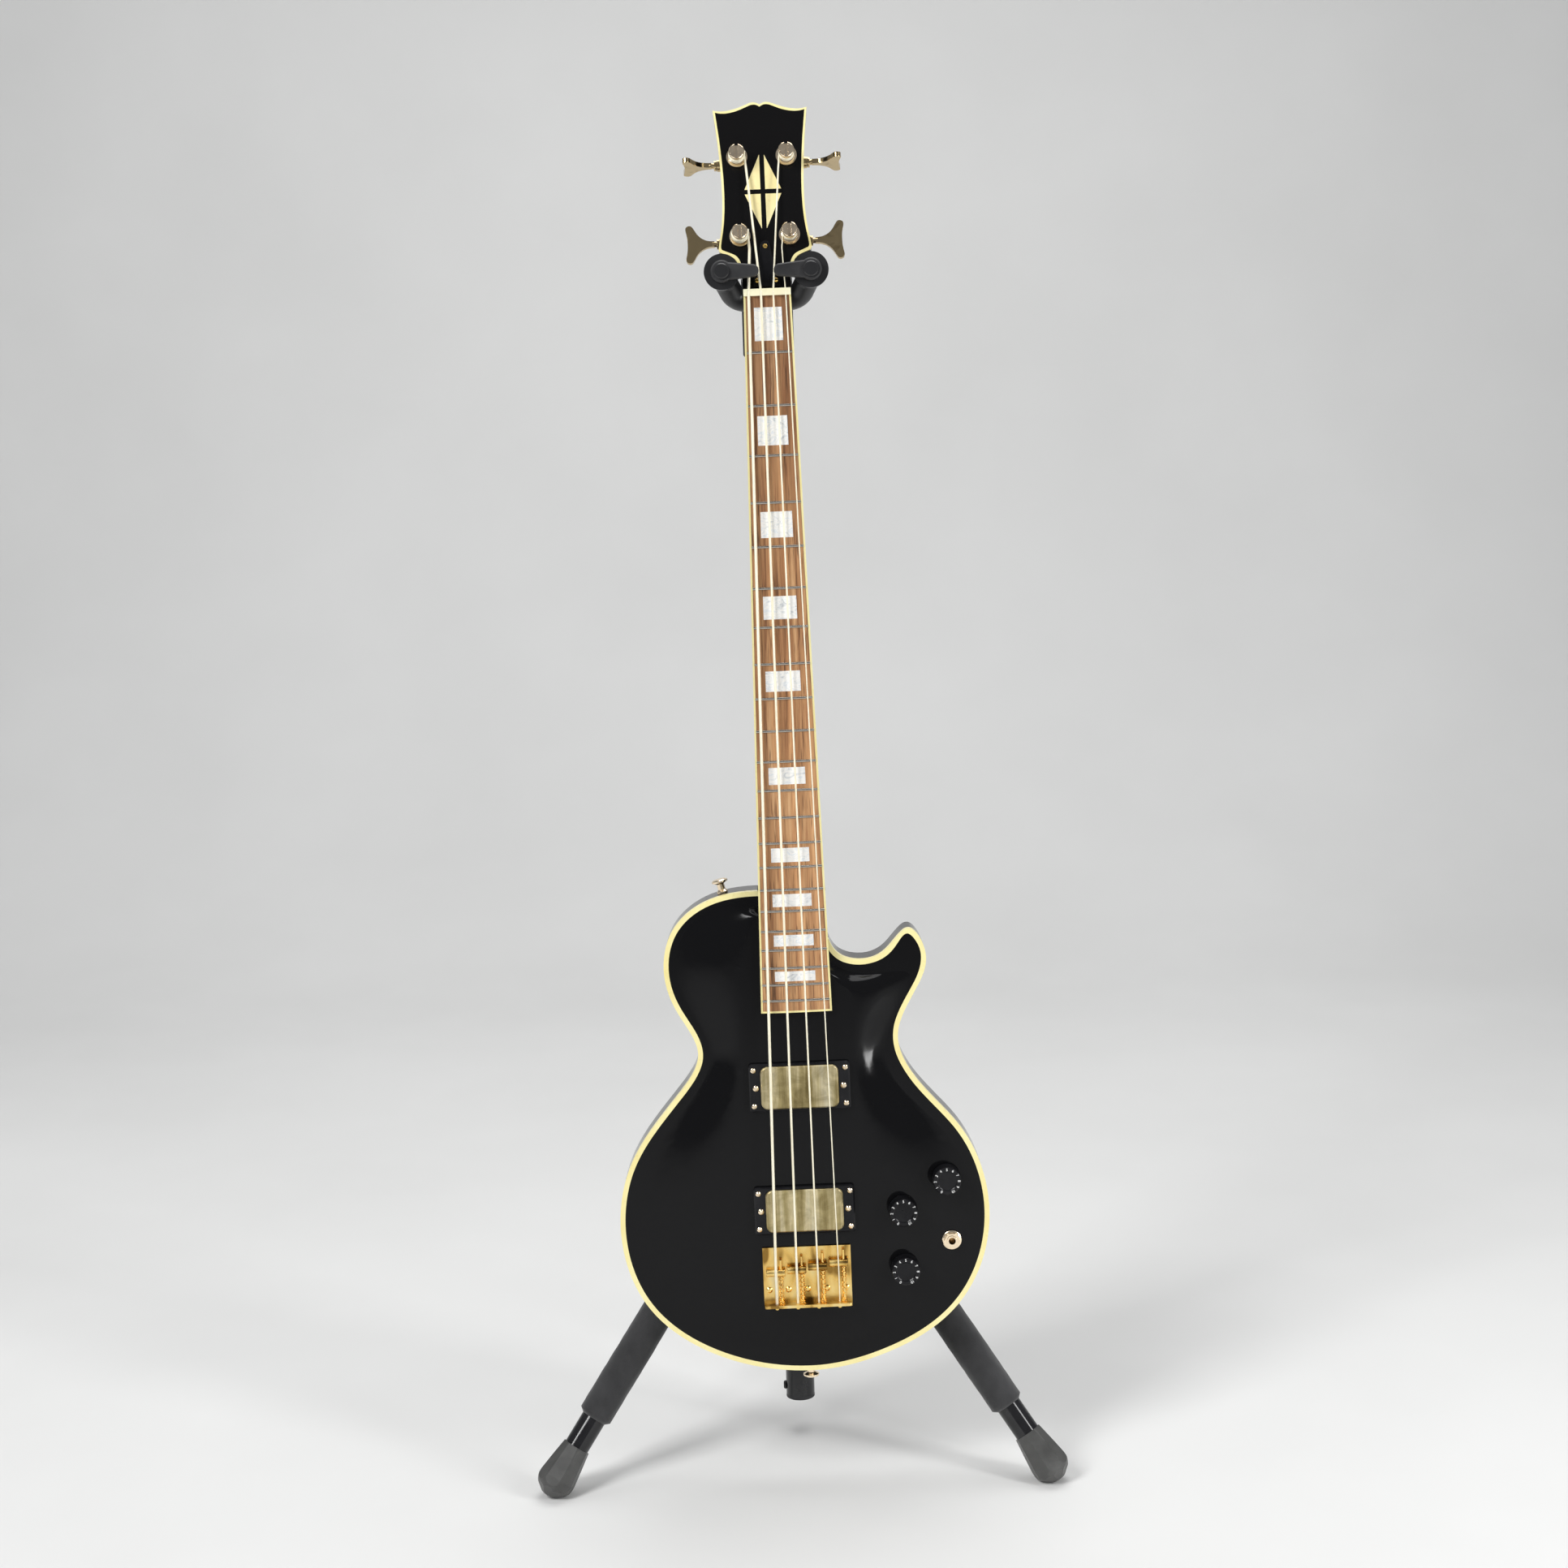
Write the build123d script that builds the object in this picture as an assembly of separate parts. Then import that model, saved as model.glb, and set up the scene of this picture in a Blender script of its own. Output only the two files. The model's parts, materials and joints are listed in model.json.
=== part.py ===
from build123d import *
import os
from math import asin, atan2, cos, degrees, hypot, pi, radians, sin, sqrt

# Four-string single-cutaway bass guitar hanging on a tripod stand with self-closing gates.
# Millimetres, +Z up, the guitar's face towards -Y, floor at Z = 0.
# The guitar is drawn in its own frame: x across, y up the neck from the nut, z out of the face
# from the plane of the body's rim. One placement then hangs it on the stand.

# Strings and fretboard
SCALE = 864.0
FRET_COUNT = 22
STRING_NAMES = ("e", "a", "d", "g")
STRING_RADII = (1.33, 1.08, 0.82, 0.57)
COMPENSATION = (8.0, 5.5, 3.0, 0.5)      # saddle crest behind the scale length
NUT_SPREAD = 32.0                        # outer strings, centre to centre
SADDLE_SPREAD = 57.0
NUT_STRING_Z = 17.4                      # middle of the string plane at the nut
SADDLE_STRING_Z = 21.3                   # and over the saddles
BOARD_NUT_WIDTH = 41.2
BOARD_END_WIDTH = 63.6
BOARD_LENGTH = 632.6
BOARD_THICK = 6.0
BOARD_RADIUS = 305.0
BOARD_BINDING = 1.7
FRET_WIDTH = 2.4
FRET_HEIGHT = 1.1
INLAY_FRETS = (1, 3, 5, 7, 9, 12, 15, 17, 19, 21)
INLAY_DEPTH = 1.6
INLAY_LENGTH_SHARE = 0.59                # of the space between two frets
INLAY_WIDTH_SHARE = 0.58                 # of the board
NUT_THICK = 6.0
NUT_PROUD = 0.5                          # nut above the string centres

# Neck and headstock
NECK_DEPTH_NUT = 15.5                    # under the fretboard
NECK_DEPTH_BODY = 19.5
HEEL_START = -478.0
HEEL_Y = -527.0
HEEL_DEPTH = 41.0
HEEL_BLOCK_END = -576.0
NECK_INSET = 0.2                         # neck inside the board's edge
NECK_ROUND = 0.74                        # fullness of the neck's back
THROAT_Y = -6.0                          # where the neck starts to widen into the headstock
THROAT_H = 14.0
TENON_WIDTH = 46.0
TENON_END = -600.0
HEAD_ANGLE = 14.0
HEAD_THICK = 15.0
HEAD_BREAK_Y = 4.0
HEAD_BINDING = 2.0
HEAD_LENGTH = 170.0                      # from the break to the notch in the crest
HEAD_TOP_WIDTH = 82.6
HEAD_WAIST_WIDTH = 71.6
HEAD_FLARE_WIDTH = 80.8
SHOULDER_H = 36.6                        # underside corner of the headstock
COVER_LENGTH = 41.0                      # truss rod cover
COVER_WIDTH = 23.0
COVER_THICK = 2.2
COVER_H = 4.0
COVER_SCREW = (2.0, 1.2, 1.0)             # head radius, head height and shank radius
SCREW_BITE = 8.0                         # screw in the wood under what it holds
TRUSS_ROD_RADIUS = 3.0
ROD_Z = 2.0
ROD_ENDS = (-560.0, 20.0)
ROD_POCKET = (8.0, 32.0)                  # access pocket under the cover, along y
ROD_POCKET_WIDTH = 10.0
ROD_POCKET_FLOOR = -3.0
LOZENGE_ENDS = (52.0, 129.0)             # headstock's inlay, up the headstock
LOZENGE_HALF = 17.0
LOZENGE_GAP = 4.2                        # between its four quarters
LOZENGE_DEPTH = 0.8

# Machine heads, placed on the headstock's face
POST_X = 21.6
POST_LOWER_H = 50.0
POST_UPPER_H = 122.0
POST_RADIUS = 5.2
POST_HEAD_RADIUS = 6.9
POST_HEIGHT = 16.0
POST_HEAD = 3.2                          # flared head, from the windings to the top
POST_FOOT = 9.0                          # length inside the housing
POST_SLOT = 3.2
BUSH_RADIUS = 7.0
BUSH_FLANGE_RADIUS = 9.2
BUSH_FLANGE = 2.6
RUNNING = 0.05                           # radial clearance of turning pieces
WRAP_CLEAR = 0.06                        # string to post
WRAP_GAP = 0.5                           # between turns on a post
WRAP_TURNS = 2
WRAP_BASE = 3.4                          # lowest turn above the headstock's face
LEAD_LENGTH = 14.0                       # eased run into the first turn
STRING_BEND = 1.5
HOUSING_RADIUS = 12.5
HOUSING_DEPTH = 13.5
HOUSING_REACH = 18.0                     # worm barrel, out from the post
WORM_H = 2.0                             # worm shaft above the post's axis
WORM_RADIUS = 2.5
WORM_DEPTH = 10.0
WORM_BACK = 6.8                          # worm axis behind the headstock's back
LUG_RADIUS = 3.2
LUG_THICK = 2.4
LUG_SCREW = (2.2, 1.3, 1.0)
BARREL_RADIUS = 5.2
KEY_TIP_X = 69.5
KEY_LENGTH = 25.0
KEY_HEIGHT = 34.0
KEY_THICK = 4.2
KEY_STEM = 2.4
KEY_TURNS = (0, 90, 90, 0)               # lower keys show their flats, upper keys their edges
COLLAR_RADIUS = 4.6
COLLAR_LENGTH = 2.4
COLLAR_CLEAR = 0.2

# Body
BODY_THICK = 40.0
LOWER_BOUT = 336.0
WAIST = 181.0
UPPER_BOUT = 236.0
TAIL_Y = -970.0
BOUT_Y = -829.0
WAIST_Y = -665.0
HORN_Y = -563.0
SHOULDER_Y = -523.6
ARCH_HEIGHT = 9.0
BINDING_WIDTH = 4.5
BINDING_DEPTH = 7.0
BACK_BEVEL = 5.0                         # bevel round the back
INSET_STEPS = 36                         # points of a moved outline

# Pickups
PICKUP_YS = {"neck": -701.0, "bridge": -815.0}
PICKUP_LENGTH = 70.0
PICKUP_WIDTH = 39.0
PICKUP_CORNER = 6.0
PICKUP_TOP_Z = 16.0
PICKUP_DEPTH = 24.0
PICKUP_GAP = 0.3
RING_LENGTH = 91.0
RING_WIDTH = 44.0
RING_HEIGHT = 4.5
BASE_LENGTH = 84.0
BASE_THICK = 1.5
TAB_WIDTH = 18.0                         # ends of the base plate
HEIGHT_SCREW_X = 39.5
HEIGHT_SCREW_RADIUS = 1.2
HEIGHT_SCREW_HEAD = (2.6, 1.5)            # radius and height
HEIGHT_SCREW_PAST = 4.0                  # tip below the base plate
RING_SCREW = (2.3, 1.3, 1.1)              # head radius, head height and shank radius
RING_SCREW_X = 41.5
RING_SCREW_Y = 16.5
CAVITY_FLOOR = -18.0

# Bridge
BRIDGE_WIDTH = 80.0
BRIDGE_FRONT = -849.6
BRIDGE_REAR = -903.0
BRIDGE_THICK = 2.2
LIP_HEIGHT = 14.0
LIP_THICK = 2.6
SADDLE_RADIUS = 3.4
SADDLE_LENGTH = 17.4
SADDLE_CLEAR = 0.3                       # under the string
SADDLE_BREAK = 3.2                       # the string bends this far behind the crest
GRUB_RADIUS = 1.3
GRUB_X = 6.4
INTONATION_X = 4.6                       # screw beside its string
INTONATION_Z = 15.2
INTONATION_RADIUS = 1.2
INTONATION_HEAD = 2.1
INTONATION_REACH = 12.0                  # screw past the saddle
SPRING_RADIUS = 2.1
SPRING_WIRE = 0.36
SPRING_TURNS = 5
SPRING_SEAT = 0.1
BRIDGE_SCREW_Y = -889.0
BRIDGE_SCREW = (2.8, 1.3, 1.5)
BRIDGE_SCREW_BITE = 14.0
LIP_HOLE = 0.9                           # clearance of a string in the lip
ANCHOR_Z = 16.4
BALL_RADIUS = 2.4

# Controls
KNOB_PLACES = {"upper": (129.6, -793.1), "middle": (89.1, -819.3), "lower": (89.4, -873.9)}
KNOB_RADIUS = 13.2
KNOB_TOP_RADIUS = 12.6
KNOB_HEIGHT = 13.0
KNOB_FLOAT = 0.7
KNOB_HOLLOW = 4.0
KNOB_DISH = 9.0
SHAFT_FOOT = 6.0                         # shaft inside the casing
BUSH_RISE = 1.5                          # bushing above the top
SHAFT_RADIUS = 3.0
POT_RADIUS = 12.0
POT_HEIGHT = 10.0
POT_BUSH_RADIUS = 4.6
JACK_PLACE = (132.8, -851.5)
JACK_WASHER_RADIUS = 8.8
JACK_NUT_ACROSS = 13.0
JACK_BARREL_RADIUS = 4.7
JACK_BORE_RADIUS = 3.2
JACK_RISE = 5.0
JACK_BODY = 14.0
JACK_BODY_RADIUS = 9.0
JACK_BORE_LENGTH = 24.0
CAVITY_ROOF = -8.0
PLATE_SCREW = (2.6, 1.2, 1.2)
COVER_PLATE = 2.0
COVER_RIM = 7.0
COVER_GAP = 0.2
STRAP_FOOT = 5.0                         # button's radii at foot, waist and head
STRAP_WAIST = 3.4
STRAP_HEAD = 7.2
STRAP_RISE = 12.4
STRAP_SEAT = 1.5                         # button let into the side
STRAP_SHARE = 0.05                       # along the left edge from the neck

# Stand
POST_OUTER = 13.75
POST_WALL = 1.6
POST_FOOT_Z = 37.0
LOWER_TUBE_TOP = 640.0
UPPER_OUTER = 11.0
UPPER_WALL = 1.5
UPPER_TUBE_FOOT = 330.0
GUIDE_LENGTH = 30.0                      # collar at the foot of the upper tube
CAP_THICK = 3.0
CAP_PLUG = 16.0
CAP_SCREW_RADIUS = 2.0
CAP_SCREW_HEAD = 2.4
CLUTCH_RADIUS = 21.0
CLUTCH_LENGTH = 62.0
CLUTCH_GRIP = 30.0                       # length over the lower tube
CLUTCH_RIBS = 12
LEG_AZIMUTHS = {"left": 210.0, "right": 330.0, "rear": 90.0}
HINGE_R = 34.0
HINGE_Z = 300.0
FOOT_REACH = 262.0
FOOT_RADIUS = 18.3
FOOT_LENGTH = 51.0
FOOT_COLLAR = 13.0
FOOT_FLAT = 1.2
FOOT_SIDES = 8                           # flats round a foot
FOOT_FLAT_R = 16.6                       # middle of a flat at the bulb
FOOT_FLAT_TOP = 12.4                     # and at the collar
LEG_OUTER = 11.7
LEG_WALL = 1.5
FOAM_OUTER = 16.2
FOAM_START = 36.0
BARE_LENGTH = 30.0                       # leg shown between foam and foot
LEG_START = 14.0
TANG_RADIUS = 8.5
TANG_PLUG = 12.0
TANG_WIDTH = 12.0
EAR_THICK = 5.0
EAR_CLEAR = 0.3
EAR_RADIUS = 10.5
HUB_RADIUS = 19.0
HUB_ABOVE = 22.0
HUB_BELOW = 24.0
PIN_RADIUS = 3.0

# Yoke and the way the guitar hangs
HANG_TILT = 3.0
HANG_LEAN = 0.6
NUT_HEIGHT = 1084.0                      # the guitar's own origin above the floor
NUT_START_Y = -140.0                     # the guitar is pushed back from here onto the foam
ARM_LEVEL = 5.0                          # and the arms up from here onto the headstock
REST_GAP = 0.3
ARM_X = 38.5
ARM_RADIUS = 10.5
PAD_RADIUS = 13.0
PAD_FRONT = 16.0
PAD_BACK = -20.0
ARM_BACK = -30.0
ARM_DROP = 19.0                          # the fork's back bar below its arms
FORK_BACK = -48.0
FORK_NARROW = 28.0
FORK_BEND = 9.5
DISC_RADIUS = 15.5
DISC_THICK = 4.0
GATE_HUB_RADIUS = 9.5
GATE_ROOT = 8.0
GATE_TIP_RADIUS = 5.2
GATE_THICK = 8.0
GATE_TIP_X = 6.5
GATE_CLEAR = 0.3
GATE_PIN_RADIUS = 3.2
GATE_CAP_RADIUS = 6.6
GATE_CAP_THICK = 2.4
CARRIAGE_WIDTH = 34.0
CARRIAGE_HEIGHT = 34.0
TONGUE_WIDTHS = (12.0, 20.0)             # neck and head of the carriage's tongue
TONGUE_DEPTHS = (4.0, 9.0)
SLIDE_CLEAR = 0.05
BLOCK_WIDTH = 46.0
BLOCK_DEPTH = 19.0                       # from the post's axis to its faces
BLOCK_BELOW = 33.0                       # under the carriage, where the tube is held
BLOCK_ABOVE = 18.0
TUBE_SEAT = 28.0

MIN_UP = (Align.CENTER, Align.CENTER, Align.MIN)
PLATEAU = ARCH_HEIGHT
BOARD_TOP = PLATEAU + BOARD_THICK


# Small helpers

def cyl(radius, low, high, place=(0.0, 0.0)):
    """Upright cylinder between two heights."""
    return Pos(place[0], place[1], low) * Cylinder(radius, high - low, align=MIN_UP)


def slab(x0, x1, y0, y1, z0, z1):
    """Box between corners."""
    centre = Pos((x0 + x1) / 2, (y0 + y1) / 2, (z0 + z1) / 2)
    return centre * Box(x1 - x0, y1 - y0, z1 - z0)


def prism(face, low, high):
    """Upright extrusion of a flat face between two heights."""
    return extrude(Pos(0, 0, low) * face, high - low, dir=(0, 0, 1))


def turned(profile):
    """Solid of revolution about Z from (radius, height) points."""
    return revolve(make_face(Polyline(*[(r, 0, z) for r, z in profile], close=True)), Axis.Z)


def bar(radius, start, end):
    """Round bar between two points."""
    run = Vector(*end) - Vector(*start)
    return Plane(Vector(*start), z_dir=run).location * Cylinder(radius, run.length, align=MIN_UP)


def screw(head_radius, head_height, shank_radius, length):
    """Domed screw with its seat at the origin and its head up."""
    return turned([
        (0, -length), (shank_radius, -length), (shank_radius, 0), (head_radius, 0),
        (head_radius, 0.35 * head_height), (0.55 * head_radius, head_height), (0, head_height),
    ])


def biarc(p0, t0, p1, t1):
    """Two arcs that leave p0 along t0 and reach p1 along t1."""
    run = p1 - p0
    lean = run.dot(t0 + t1)
    spread = 2 * (1 - t0.dot(t1))
    arm = (sqrt(lean ** 2 + spread * run.dot(run)) - lean) / spread
    q0 = p0 + t0 * arm
    q1 = p1 - t1 * arm
    middle = (q0 + q1) * 0.5
    return [TangentArc(p0, middle, tangent=t0), TangentArc(middle, p1, tangent=q1 - q0)]


def rounded(points, cut):
    """Straight runs through points, each corner rounded by an arc that starts a cut before it."""
    corners = [Vector(*p) for p in points]
    edges = []
    start = corners[0]
    for before, corner, after in zip(corners, corners[1:], corners[2:]):
        into = (corner - before).normalized()
        out = (after - corner).normalized()
        edges.append(Line(start, corner - into * cut))
        edges.append(TangentArc(corner - into * cut, corner + out * cut, tangent=into))
        start = corner + out * cut
    edges.append(Line(start, corners[-1]))
    return edges


def tube_along(edges, radius):
    """Round bar swept along a chain of tangent edges."""
    path = Wire(edges)
    section = Plane(path @ 0, z_dir=path % 0) * Circle(radius)
    return sweep(section, path=path)


def coil_edges(plane, radius, pitch, start, sense, half_turns):
    """Half-turn biarcs along a helix about the plane's normal, climbing from its origin."""
    rise = pitch / (2 * pi)

    def at(turned_by):
        angle = start + sense * turned_by
        point = Vector(radius * cos(angle), radius * sin(angle), rise * turned_by)
        heading = Vector(-sense * radius * sin(angle), sense * radius * cos(angle), rise)
        base = plane.from_local_coords((0, 0, 0))
        return (plane.from_local_coords(point),
                (plane.from_local_coords(heading) - base).normalized())

    edges = []
    for k in range(half_turns):
        p0, t0 = at(k * pi)
        p1, t1 = at((k + 1) * pi)
        edges += biarc(p0, t0, p1, t1)
    return edges, at(0), at(half_turns * pi)


def least_gap(edges, wire_radius, pitch):
    """Smallest clear distance between neighbouring turns, measured on points."""
    points = []
    for edge in edges:
        points += [edge @ (k / 8) for k in range(8)]
    best = pitch * 4
    turn = 4 * 8
    for k, point in enumerate(points):
        for other in points[k + turn // 2 + 4:]:
            best = min(best, (point - other).length)
    return best - 2 * wire_radius


def settle(moving, fixed, direction, gap):
    """How far to push a shape along a direction until it is a gap away from another shape."""
    along = Vector(*direction)
    shift = 0.0
    for _ in range(8):
        distance = (Pos(*(along * shift)) * moving).distance_to(fixed)
        shift += distance - gap
    return shift


# Places that several pieces share

def string_x(k, spread):
    """Across the strings, first string at the viewer's left."""
    return spread * (k / (len(STRING_NAMES) - 1) - 0.5)


def crowned(x, middle):
    """Height that follows the fretboard's radius across the strings."""
    return middle - x * x / (2 * BOARD_RADIUS)


def fret_y(n):
    """Place of a fret by equal temperament."""
    return -SCALE * (1 - 2 ** (-n / 12))


def board_half(y):
    """Half width of the fretboard with its binding."""
    share = -y / BOARD_LENGTH
    return (BOARD_NUT_WIDTH + (BOARD_END_WIDTH - BOARD_NUT_WIDTH) * share) / 2


def string_rest(k):
    """Saddle crest: across, along and string centre height."""
    x = string_x(k, SADDLE_SPREAD)
    return x, -(SCALE + COMPENSATION[k]), crowned(x, SADDLE_STRING_Z)


def post_place(k):
    """Side and place of a string's post on the headstock."""
    side = -1 if k < 2 else 1
    outer = k in (0, len(STRING_NAMES) - 1)
    return side, side * POST_X, POST_LOWER_H if outer else POST_UPPER_H


HEAD = Plane(
    origin=(0, HEAD_BREAK_Y, PLATEAU),
    x_dir=(1, 0, 0),
    z_dir=(0, sin(radians(HEAD_ANGLE)), cos(radians(HEAD_ANGLE))),
)


# Body

def body_edges():
    """Left and right edges of the body, from the neck to the tail and back to the neck."""
    bout, waist, upper = LOWER_BOUT / 2, WAIST / 2, UPPER_BOUT / 2
    left = Spline(
        (-30.8, SHOULDER_Y), (-0.66 * upper, SHOULDER_Y - 8), (-0.92 * upper, SHOULDER_Y - 33),
        (-upper, SHOULDER_Y - 71), (-0.91 * upper, SHOULDER_Y - 108), (-waist, WAIST_Y - 5),
        (-0.665 * bout, BOUT_Y + 120), (-0.94 * bout, BOUT_Y + 54), (-bout, BOUT_Y + 8),
        (-0.866 * bout, BOUT_Y - 76), (-0.468 * bout, TAIL_Y + 15.3), (0, TAIL_Y),
        tangents=[(-1, 0), (1, 0)], tangent_scalars=(1, 1),
    )
    right = Spline(
        (0, TAIL_Y), (0.402 * bout, TAIL_Y + 13), (0.81 * bout, BOUT_Y - 85), (bout, BOUT_Y - 4),
        (0.861 * bout, BOUT_Y + 81), (0.624 * bout, BOUT_Y + 129.5), (waist, WAIST_Y + 4),
        (0.953 * upper, HORN_Y - 48), (upper, HORN_Y - 22), (upper - 14, HORN_Y),
        (upper - 36.3, HORN_Y - 19), (upper - 58.4, HORN_Y - 26.8), (38.1, HORN_Y - 18.9),
        (31.5, HORN_Y - 6.8),
        tangents=[(1, 0), (-0.29, 0.957)], tangent_scalars=(1, 1),
    )
    return left, right


def inset_edge(edge, amount):
    """Edge moved to its left by an amount, through the same number of points."""
    points = []
    for k in range(INSET_STEPS + 1):
        along = (edge % (k / INSET_STEPS)).normalized()
        points.append(edge @ (k / INSET_STEPS) + Vector(-along.Y, along.X) * amount)
    return Spline(*points, tangents=[edge % 0, edge % 1], tangent_scalars=(1, 1))


def body_outline(inset=0.0):
    """Flat face of the body's outline, or of the same outline moved inwards."""
    left, right = body_edges()
    if inset:
        left, right = inset_edge(left, inset), inset_edge(right, inset)
    return make_face([left, right, Line(right @ 1, left @ 0)])


def body_block(outline):
    """Body blank: flat sides and a bevelled back edge."""
    sides = prism(outline, BACK_BEVEL - BODY_THICK, 0)
    edge = Pos(0, 0, BACK_BEVEL - BODY_THICK) * outline
    back = Pos(0, 0, -BODY_THICK) * body_outline(BACK_BEVEL)
    return sides + loft([edge.face(), back.face()], ruled=True)


def arch():
    """Carved crown of the top, lofted from its foot near the rim to the plateau under the strings."""
    bout, waist, upper = LOWER_BOUT / 2, WAIST / 2, UPPER_BOUT / 2
    foot = [
        (0, TAIL_Y + 12), (0.54 * bout, TAIL_Y + 33), (bout - 17, BOUT_Y - 50), (bout - 11, BOUT_Y + 6),
        (0.73 * bout, BOUT_Y + 86), (waist - 11, WAIST_Y), (upper - 17, HORN_Y - 40),
        (upper - 52, HORN_Y - 40), (40, HORN_Y - 33), (0, SHOULDER_Y - 40), (-40, SHOULDER_Y - 12),
        (-0.78 * upper, SHOULDER_Y - 28), (12 - upper, SHOULDER_Y - 75), (11 - waist, WAIST_Y - 5),
        (-0.73 * bout, BOUT_Y + 86), (11 - bout, BOUT_Y + 6), (17 - bout, BOUT_Y - 50),
        (-0.54 * bout, TAIL_Y + 33),
    ]
    crown = [
        (0, TAIL_Y + 55), (44, TAIL_Y + 60), (58, BOUT_Y - 50), (60, BOUT_Y + 6),
        (56, BOUT_Y + 86), (49, WAIST_Y), (45, HORN_Y - 50),
        (39, HORN_Y - 46), (34, HORN_Y - 40), (0, SHOULDER_Y - 48), (-34, SHOULDER_Y - 24),
        (-42, SHOULDER_Y - 45), (-46, SHOULDER_Y - 85), (-49, WAIST_Y - 5),
        (-56, BOUT_Y + 86), (-60, BOUT_Y + 6), (-58, BOUT_Y - 50),
        (-44, TAIL_Y + 60),
    ]
    sections = []
    for share in (0.0, 0.2, 0.5, 0.8, 1.0):
        ring = [(f[0] + (c[0] - f[0]) * share, f[1] + (c[1] - f[1]) * share)
                for f, c in zip(foot, crown)]
        height = ARCH_HEIGHT * share * share * (3 - 2 * share)
        sections.append(Pos(0, 0, height) * make_face(Spline(*ring, periodic=True)))
    return loft([s.face() for s in sections])


def pickup_cavity(y):
    """Rout under a pickup, with a narrower pocket for each end of its base plate."""
    rout = slab(-PICKUP_LENGTH / 2 - 1, PICKUP_LENGTH / 2 + 1, y - PICKUP_WIDTH / 2 - 1,
                y + PICKUP_WIDTH / 2 + 1, CAVITY_FLOOR, PLATEAU + 1)
    return rout + slab(-BASE_LENGTH / 2 - 1, BASE_LENGTH / 2 + 1, y - TAB_WIDTH / 2 - 1,
                       y + TAB_WIDTH / 2 + 1, CAVITY_FLOOR, PLATEAU + 1)


def cavity_outline(grow):
    """Control cavity around the potentiometers and the jack."""
    corners = [(71, -804), (127, -774), (150, -786), (151, -862), (124, -886), (72, -890)]
    face = make_face(Polyline(*corners, close=True))
    return offset(fillet(face.vertices(), 9), amount=grow)


def cover_screw_places():
    """Screws of the control cavity's cover."""
    return [(74, -799), (124, -772), (153, -783), (154, -864), (126, -890), (74, -893)]


def top_height(blank, x, y, radius):
    """Highest point of the top under a round footprint."""
    return (cyl(radius, -BODY_THICK, 60, (x, y)) & blank).bounding_box().max.Z


# Neck

def neck_section(plane, half_width, depth, square):
    """D-shaped section hanging from the plane's origin; square is larger for fuller corners."""
    curve = Spline(
        (half_width, 0), (square * half_width, -square * depth), (0, -depth),
        (-square * half_width, -square * depth), (-half_width, 0),
        tangents=[(0, -1), (0, 1)],
    )
    return plane * make_face([curve, Line((-half_width, 0), (half_width, 0))])


def head_outline(inset=0.0):
    """Headstock seen square to its face: throat, shoulders, waist and a crest with two humps."""
    neck, flare = BOARD_NUT_WIDTH / 2 - inset, HEAD_FLARE_WIDTH / 2 - inset
    waist, top = HEAD_WAIST_WIDTH / 2 - inset, HEAD_TOP_WIDTH / 2 - inset
    low, high = SHOULDER_H + inset, HEAD_LENGTH - inset
    throat_end = (flare - 10.1, low - 3.8)
    shoulder_end = (flare - 1.4, low)
    slope = (8.7, 3.8)
    half = [
        Spline((neck, 2), (neck + 1.6, 0.5 * low), throat_end, tangents=[(0, 1), slope]),
        Line(throat_end, shoulder_end),
        Spline(shoulder_end, (flare, low + 3.9), tangents=[slope, (-0.1, 1)]),
        Spline((flare, low + 3.9), (flare - 1.6, low + 13.4), (waist, 0.55 * HEAD_LENGTH),
               (waist + 1.2, 0.715 * HEAD_LENGTH), (top, high - 3.8), tangents=[(-0.1, 1), (0.12, 1)]),
        Spline((top, high - 3.8), (0.65 * top, high - 4.4), (0.34 * top, high - 0.4),
               (0.15 * top, high + 2.2), (0, high)),
    ]
    other = [mirror(edge, Plane.YZ) for edge in half]
    return make_face(half + other + [Line((-neck, 2), (neck, 2))])


def head_binding():
    """Strip let into the front edge of the headstock, in the headstock's own frame."""
    ring = prism(head_outline(), -HEAD_BINDING, 0)
    ring -= prism(head_outline(HEAD_BINDING), -2 * HEAD_BINDING, HEAD_BINDING)
    return ring - slab(-60, 60, -5, THROAT_H, -10, 10)


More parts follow.
